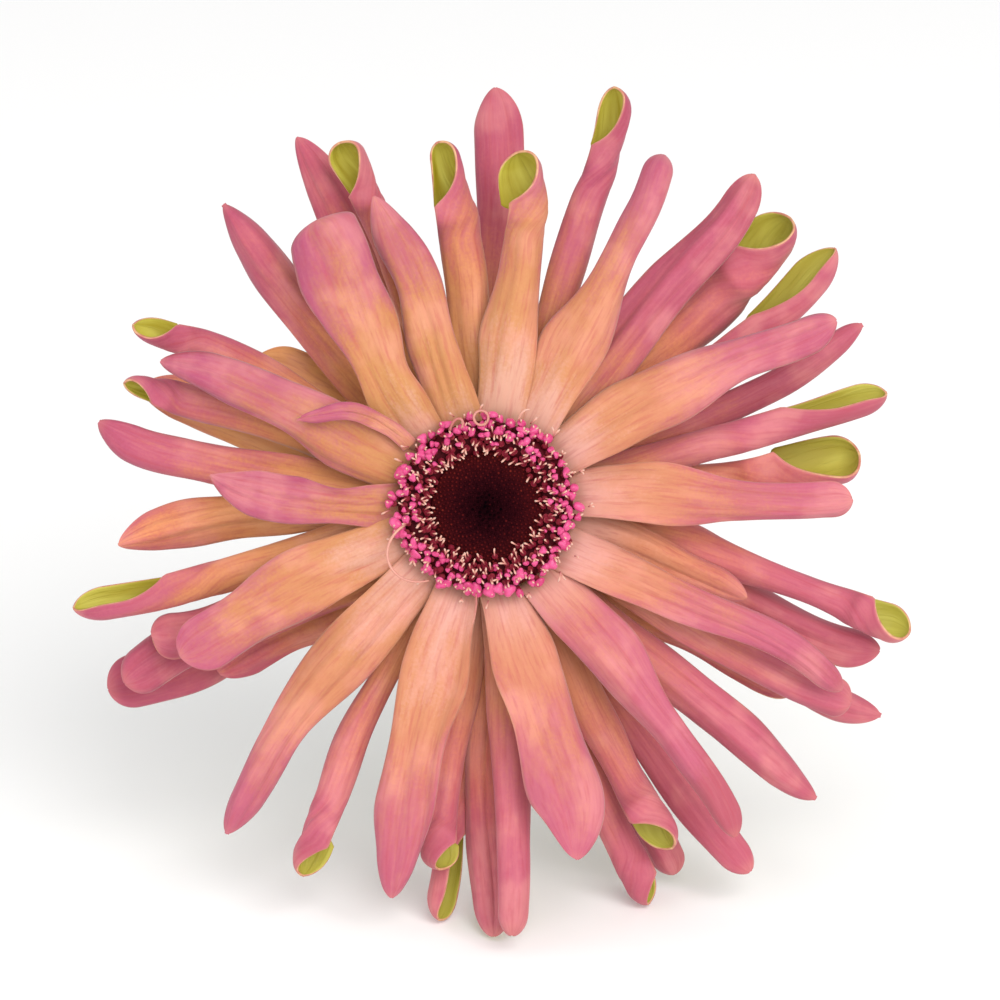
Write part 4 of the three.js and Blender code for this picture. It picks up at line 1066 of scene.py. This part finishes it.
loop_turn = np.linspace(-1.2, 5.6, 26)
loop_right = LOOP_MIDDLE[0] + LOOP_RADIUS * np.cos(loop_turn)
loop_up = LOOP_MIDDLE[1] + LOOP_RADIUS * np.sin(loop_turn)
thread(np.stack([loop_right, loop_up, 4.0 + 0.09 * loop_turn], 1), 0.17, np.full(26, 0.5))
for points, thick, rings, tones in THREADS:
    taper = 1 - 0.5 * np.linspace(-0.6, 1, rings) ** 4
    thread(curve(points, rings), thick * taper, np.linspace(*tones, rings))
for number in range(OUTERMOST):
    turn = number * 2 * math.pi / OUTERMOST + dice.uniform(-0.15, 0.15)
    radius = dice.uniform(11.9, 12.7)
    foot = np.array([math.cos(turn) * radius, math.sin(turn) * radius * 0.95, 2.6])
    heading = direction(turn + dice.uniform(-0.6, 0.6), 0.1)
    length = dice.uniform(0.5, 1.3)
    stigma(stigmas, foot, heading, length, 0.13, dice.random() < 0.3)
stigmas.piece("stigmas_and_threads", STIGMA_FINISH, "disc_crown")
print("1 loop,", len(THREADS), "other threads and", OUTERMOST, "stigmas on the rays")

# %% [markdown]
# ## Finishes of the green parts
# The cushion, the bracts and the stalk are green flesh in different tones, and the wool is nearly white.
# One function makes all four: the tone picks the green, cloudy noise shifts it, and a finer noise lays
# pale down over it.

# %% Finish: flesh, bracts and wool


def green_finish(name, stops, roughness=0.6, down=0.25):
    material, tree, shader = new_finish(name)
    streaks, fine = speckle(tree, 700.0, 4.0), speckle(tree, 4200.0, 2.0)
    colour = ramp(tree, maths(tree, "ADD", stored(tree, "tone"), push(tree, streaks, 0.3)), stops)
    colour = tint(tree, colour, fade(tree, fine, 0.55, 0.7), down, (196, 206, 168))
    skin(tree, shader, colour, roughness, 0.3)
    relief(tree, shader, maths(tree, "ADD", fine, streaks), 0.4)
    return material


CUSHION_FINISH = green_finish("receptacle_flesh", [(0.0, (120, 138, 70)), (1.0, (176, 184, 116))])
BRACT_FINISH = green_finish("bract_green", [
    (0.0, (120, 142, 74)), (0.5, (98, 124, 58)), (0.8, (90, 96, 50)), (1.0, (92, 48, 48)),
])
HAIR_FINISH = green_finish("wool", [(0.0, (206, 208, 184)), (1.0, (232, 230, 214))], 0.8, 0.0)
print("green finishes:", CUSHION_FINISH.name, BRACT_FINISH.name, HAIR_FINISH.name)

# %% [markdown]
# ## The cushion
# All florets grow on one fleshy cushion, the receptacle: narrow at the neck, then a bowl, then an upright
# wall under a nearly flat top. It is an outline turned round the axis, as on a potter's wheel, with
# shallow flutes where the bracts press on it.

# %% The cushion
NECK_DEPTH, NECK_RADIUS = -15.6, 3.3
RECEPTACLE_TOP, RECEPTACLE_SHOULDER = 1.1, -8.6
CUSHION_STEPS = 72
FLUTES, FLUTE_DEPTH = 24, 0.06
CUSHION_OUTLINE = [
    (0.05, NECK_DEPTH), (2.0, NECK_DEPTH), (NECK_RADIUS, NECK_DEPTH), (5.2, -14.7), (7.0, -13.6),
    (8.6, -12.6), (9.4, -11.4), (9.9, -9.8), (RECEPTACLE_RADIUS, RECEPTACLE_SHOULDER),
    (RECEPTACLE_RADIUS, -5.5), (RECEPTACLE_RADIUS, -2.0), (RECEPTACLE_RADIUS, 0.3), (9.7, 0.9),
    (9.2, RECEPTACLE_TOP), (0.05, RECEPTACLE_TOP),
]


def flutes(turn, radius):
    """Shallow waves round the cushion, but not on its neck."""
    return FLUTE_DEPTH * np.cos(FLUTES * turn) * (radius > 5)


cushion = Pile()
points, faces = turned(CUSHION_OUTLINE, CUSHION_STEPS, flutes)
tones = 0.5 + 0.3 * np.linspace(-1, 1, len(CUSHION_OUTLINE))
cushion.put(on_face(points), faces, np.tile(tones, CUSHION_STEPS))
cushion.piece("receptacle_cushion", CUSHION_FINISH, "receptacle", ("receptacle",))
print("the cushion is", 2 * RECEPTACLE_RADIUS, "mm across and", RECEPTACLE_TOP - NECK_DEPTH, "mm deep")

# %% [markdown]
# ## One bract and one hair
# Behind the cushion stands a cup of pointed green bracts, woolly at their margins and dark at their
# tips. A bract is one small grid: its midrib follows a curve from the neck outwards, its width swells and
# then runs out to a point, and it is slightly keeled. A second grid closes it below, so it has thickness.

# %% One bract and one hair
BRACT_THICKNESS, BRACT_RISE = 0.7, 0.27
BRACT_ROWS, BRACT_COLUMNS = 16, 7
dice = random.Random(5)


def bract_faces():
    """Faces of the upper grid, of the lower one behind it, and of the rim between them."""
    count = BRACT_ROWS * BRACT_COLUMNS
    upper = grid_faces(BRACT_ROWS, BRACT_COLUMNS)
    lower = [[corner + count for corner in face[::-1]] for face in upper]
    left = list(range(0, count, BRACT_COLUMNS))
    tip = list(range(count - BRACT_COLUMNS + 1, count))
    right = list(range(count - 1 - BRACT_COLUMNS, 0, -BRACT_COLUMNS))
    foot = list(range(BRACT_COLUMNS - 2, 0, -1))
    rim = left + tip + right + foot
    return upper + lower + [(rim[k], rim[k - 1], rim[k - 1] + count, rim[k] + count) for k in range(len(rim))]


def bract(turn, reach, behind, width, droop):
    """Points of one bract and their tones, and the paths of its two margins."""
    knee = np.array([RECEPTACLE_RADIUS + 0.4, NECK_DEPTH + 1.4 - behind])
    foot = np.array([NECK_RADIUS + 0.8, NECK_DEPTH - behind])
    tip = np.array([reach, knee[1] + (reach - knee[0]) * BRACT_RISE - droop])
    rib = curve([foot, knee, tip], BRACT_ROWS)
    heading = np.gradient(rib, axis=0)
    heading /= np.linalg.norm(heading, axis=1, keepdims=True)
    t, v = np.linspace(0, 1, BRACT_ROWS), np.linspace(-1, 1, BRACT_COLUMNS)
    half = width / 2 * np.maximum(np.sin(math.pi * (0.22 + 0.78 * t)) ** 0.85, 0.03)
    sheets = []
    for side in (1, -1):
        keel = 0.16 * width * v[None, :] ** 2 * (1 - t)[:, None]
        off = side * BRACT_THICKNESS * 0.36 * (1 - v[None, :] ** 2 * 0.85) * np.sqrt(1.02 - t)[:, None]
        radius = rib[:, :1] - heading[:, 1:] * (off + keel)
        depth = rib[:, 1:] + heading[:, :1] * (off + keel)
        swing = turn + np.arcsin(np.clip(half[:, None] * v[None, :] / np.maximum(radius, 3), -0.9, 0.9))
        sheets.append(np.stack([np.cos(swing) * radius, np.sin(swing) * radius, depth], -1))
    points = np.vstack([sheet.reshape(-1, 3) for sheet in sheets])
    return points, np.tile(np.repeat(t, BRACT_COLUMNS), 2), [sheets[1][:, 0], sheets[1][:, -1]]


def hair(pile, foot, heading, length, thick):
    """A hair: a long three-sided spike."""
    heading = heading / np.linalg.norm(heading)
    side = np.cross(heading, [0.3, 0.9, 0.2])
    side /= np.linalg.norm(side)
    other = np.cross(heading, side)
    base = [foot + (side * math.cos(a) + other * math.sin(a)) * thick for a in (0, 2.1, 4.2)]
    pile.put(base + [foot + heading * length], [(0, 1, 3), (1, 2, 3), (2, 0, 3)], dice.random())


print("a bract has", len(bract_faces()), "faces")

# %% [markdown]
# ## The cup of bracts
# The bracts stand in circles that overlap like roof tiles. The two foremost circles hug the cushion's
# wall, the next two reach out under the rays, and the outer two lie behind them. Wool stands along every
# margin.

# %% The cup and the wool on it
# For each circle: how many, how far they reach, how far behind they start, how wide, how much they
# droop, and the turn of the first one.
CUP = [
    ("bracts_inner", [(26, 12.6, -0.5, 3.6, -5.0, 0.1), (22, 14.6, -0.2, 3.8, -3.0, 0.0),
                      (17, 19.0, 0.0, 5.0, 0.0, 0.0), (16, 17.0, 0.5, 4.6, 0.5, 0.18)]),
    ("bracts_outer", [(15, 14.5, 1.2, 4.2, 0.2, 0.05), (13, 11.8, 1.7, 3.4, 0.9, 0.3)]),
]
HAIRS_ON_A_MARGIN = 14
wool = Pile()


def wool_on_margin(margin, turn):
    for share in np.linspace(0.25, 0.97, HAIRS_ON_A_MARGIN):
        spot = margin[int(share * (len(margin) - 1))]
        stray = [dice.uniform(-0.8, 0.8) for _ in "xyz"]
        heading = np.array([math.cos(turn), math.sin(turn), -0.5]) + stray
        hair(wool, on_face(spot)[0], on_face(heading)[0] - FACE, dice.uniform(0.4, 0.9), 0.035)


for node, circles in CUP:
    cup = Pile()
    for count, reach, behind, width, droop, start in circles:
        for number in range(count):
            turn = (number + dice.uniform(-0.12, 0.12)) * 2 * math.pi / count + start
            sizes = (reach * dice.uniform(0.95, 1.02), behind, width * dice.uniform(0.9, 1.1))
            points, tones, margins = bract(turn, *sizes, droop + dice.uniform(0, 0.3))
            cup.put(on_face(points), bract_faces(), np.clip(tones + dice.uniform(-0.08, 0.08), 0, 1))
            for margin in margins:
                wool_on_margin(margin, turn)
    cup.piece("cup_" + node, BRACT_FINISH, "bract", (node,))
print("bracts:", sum(circle[0] for _, circles in CUP for circle in circles))

# %% [markdown]
# ## The line of the scape
# A gerbera's stem is a bare, round, slightly ribbed stalk. It leaves the head square to the face, sinks
# to the table and lies there to its cut end. Its centre line is two Bezier curves laid end to end: one
# that droops and one that sways on the table.

# %% The line of the scape
STEM_LENGTH, STEM_TOP_RADIUS, STEM_END_RADIUS = 205, 2.3, 2.9

neck = on_face([0, 0, NECK_DEPTH - BRACT_THICKNESS - CLEARANCE])[0]
landing = np.array([FACE[0] + 7, neck[1] + 108, 0.0])
droop_line = curve([neck, neck - OUT * 46, landing + [-3, -44, 0], landing], 400)
lying = STEM_LENGTH - np.linalg.norm(np.diff(droop_line, axis=0), axis=1).sum()
cut_end = landing + [-9, lying, 0]
run_line = curve([landing, landing + [3, lying * 0.4, 0], cut_end + [9, -lying * 0.4, 0], cut_end], 400)
centre_line = np.vstack([droop_line, run_line[1:]])
travelled = np.r_[0, np.cumsum(np.linalg.norm(np.diff(centre_line, axis=0), axis=1))] / STEM_LENGTH


def scape_radius(u):
    """The stalk's radius at a share of its length; it widens into the cup."""
    shaft = STEM_TOP_RADIUS + (STEM_END_RADIUS - STEM_TOP_RADIUS) * smooth(0, 0.7, u)
    return shaft + (NECK_RADIUS - STEM_TOP_RADIUS) * (1 - smooth(0, 0.06, u))


def scape_centre(u):
    """The middle of the stalk. On the table it is one radius above it."""
    u = np.clip(u, 0, travelled[-1])
    spots = np.stack([np.interp(u, travelled, centre_line[:, axis]) for axis in range(3)], -1)
    spots[:, 2] += scape_radius(u) * smooth(0.15, 0.55, u)
    return spots


def scape_frame(u):
    """The ways along, across and out at the top of the stalk."""
    forward = scape_centre(u + 0.008) - scape_centre(u - 0.008)
    forward /= np.linalg.norm(forward, axis=1, keepdims=True)
    across = RIGHT - forward * forward[:, :1]
    across /= np.linalg.norm(across, axis=1, keepdims=True)
    return forward, across, np.cross(across, forward)


print("stalk of", STEM_LENGTH, "mm,", round(lying, 1), "mm of it on the table")

# %% [markdown]
# ## The stalk's skin, its cut end and its collar
# Rings of points are set along the line, with ribs worked out by cosines. The last rings turn inwards,
# so that the pale cut face and the hollow in it are part of the same skin. A collar, turned like a bead,
# closes the neck where the stalk widens into the cup.

# %% The stalk
HOLLOW_RADIUS, HOLLOW_DEPTH = 1.2, 9
SCAPE_ROWS, SCAPE_SIDES = 240, 48
COLLAR_OUTLINE = [(3.0, -18.4), (3.35, -17.9), (3.7, -17.2), (4.3, -16.6), (4.8, -16.2), (4.6, -15.4),
                  (3.0, -15.4), (3.0, -18.4)]
SCAPE_FINISH = green_finish("scape_skin", [
    (0.0, (112, 136, 62)), (0.35, (122, 148, 70)), (0.65, (136, 134, 78)), (0.82, (190, 200, 140)),
    (1.0, (222, 226, 186)),
], 0.5, 0.2)

u = np.r_[np.linspace(0, 1, SCAPE_ROWS), [1, 1, 1 - 0.4 / STEM_LENGTH, 1 - HOLLOW_DEPTH / STEM_LENGTH]]
cut_face = [STEM_END_RADIUS * 0.8, HOLLOW_RADIUS * 1.15, HOLLOW_RADIUS, 0.5]
shell = np.r_[scape_radius(u[:SCAPE_ROWS]), cut_face]
shell[SCAPE_ROWS - 1] -= 0.12
around = np.linspace(0, 2 * math.pi, SCAPE_SIDES, endpoint=False)
ribs = 0.05 * np.cos(9 * around)[None, :] + 0.025 * np.cos(21 * around + 6 * u[:, None]) - 0.075
on_skin = (np.arange(len(u)) < SCAPE_ROWS)[:, None]
reach = shell[:, None] + on_skin * ribs
_, across, upward = scape_frame(u)
outward = across[:, None] * np.cos(around)[None, :, None] + upward[:, None] * np.sin(around)[None, :, None]
points = scape_centre(u)[:, None] + outward * reach[:, :, None]
faces = ring_faces(len(u), SCAPE_SIDES, outward=False)
faces.append(list(range(SCAPE_SIDES)))
faces.append([(len(u) - 1) * SCAPE_SIDES + k for k in range(SCAPE_SIDES)][::-1])
tones = np.r_[0.15 + 0.45 * u[:SCAPE_ROWS], [0.86, 1.0, 0.95, 0.9]]

stalk = Pile()
stalk.put(points.reshape(-1, 3), faces, np.repeat(tones, SCAPE_SIDES))
points, faces = turned(COLLAR_OUTLINE, SCAPE_SIDES)
stalk.put(on_face(points), faces, 0.15)
stalk.piece("scape_stalk", SCAPE_FINISH, "stem", ("scape",))
print("the stalk has", SCAPE_ROWS, "rings and a hollow", HOLLOW_DEPTH, "mm deep")

# %% [markdown]
# ## The down on the stalk
# Short woolly hairs stand all over a gerbera's stalk, and more thickly near the head. A particle system
# would grow them, but it isn't a mesh. So each is a small spike in a pile, set by seeded dice, and hairs
# that would reach into the table are left out.

# %% The down on the stalk
HAIR_COUNT = 5200
HAIR_ROOTED = 0.12

for number in range(HAIR_COUNT):
    spot = np.array([min(dice.random() ** 1.3 + 0.004, 0.992)])
    forward, across, upward = (axis[0] for axis in scape_frame(spot))
    turn = dice.uniform(0, 2 * math.pi)
    outward = across * math.cos(turn) + upward * math.sin(turn)
    foot = scape_centre(spot)[0] + outward * (float(scape_radius(spot)[0]) - HAIR_ROOTED)
    length = dice.uniform(0.35, 1.0)
    if foot[2] + outward[2] * length > 0.05:
        heading = outward + forward * dice.uniform(-0.7, 0.3) + across * dice.uniform(-0.3, 0.3)
        hair(wool, foot, heading, length, 0.03)
wool.piece("wool_on_stalk_and_bracts", HAIR_FINISH, "stem")
print("hairs:", len(wool.points) // 4)
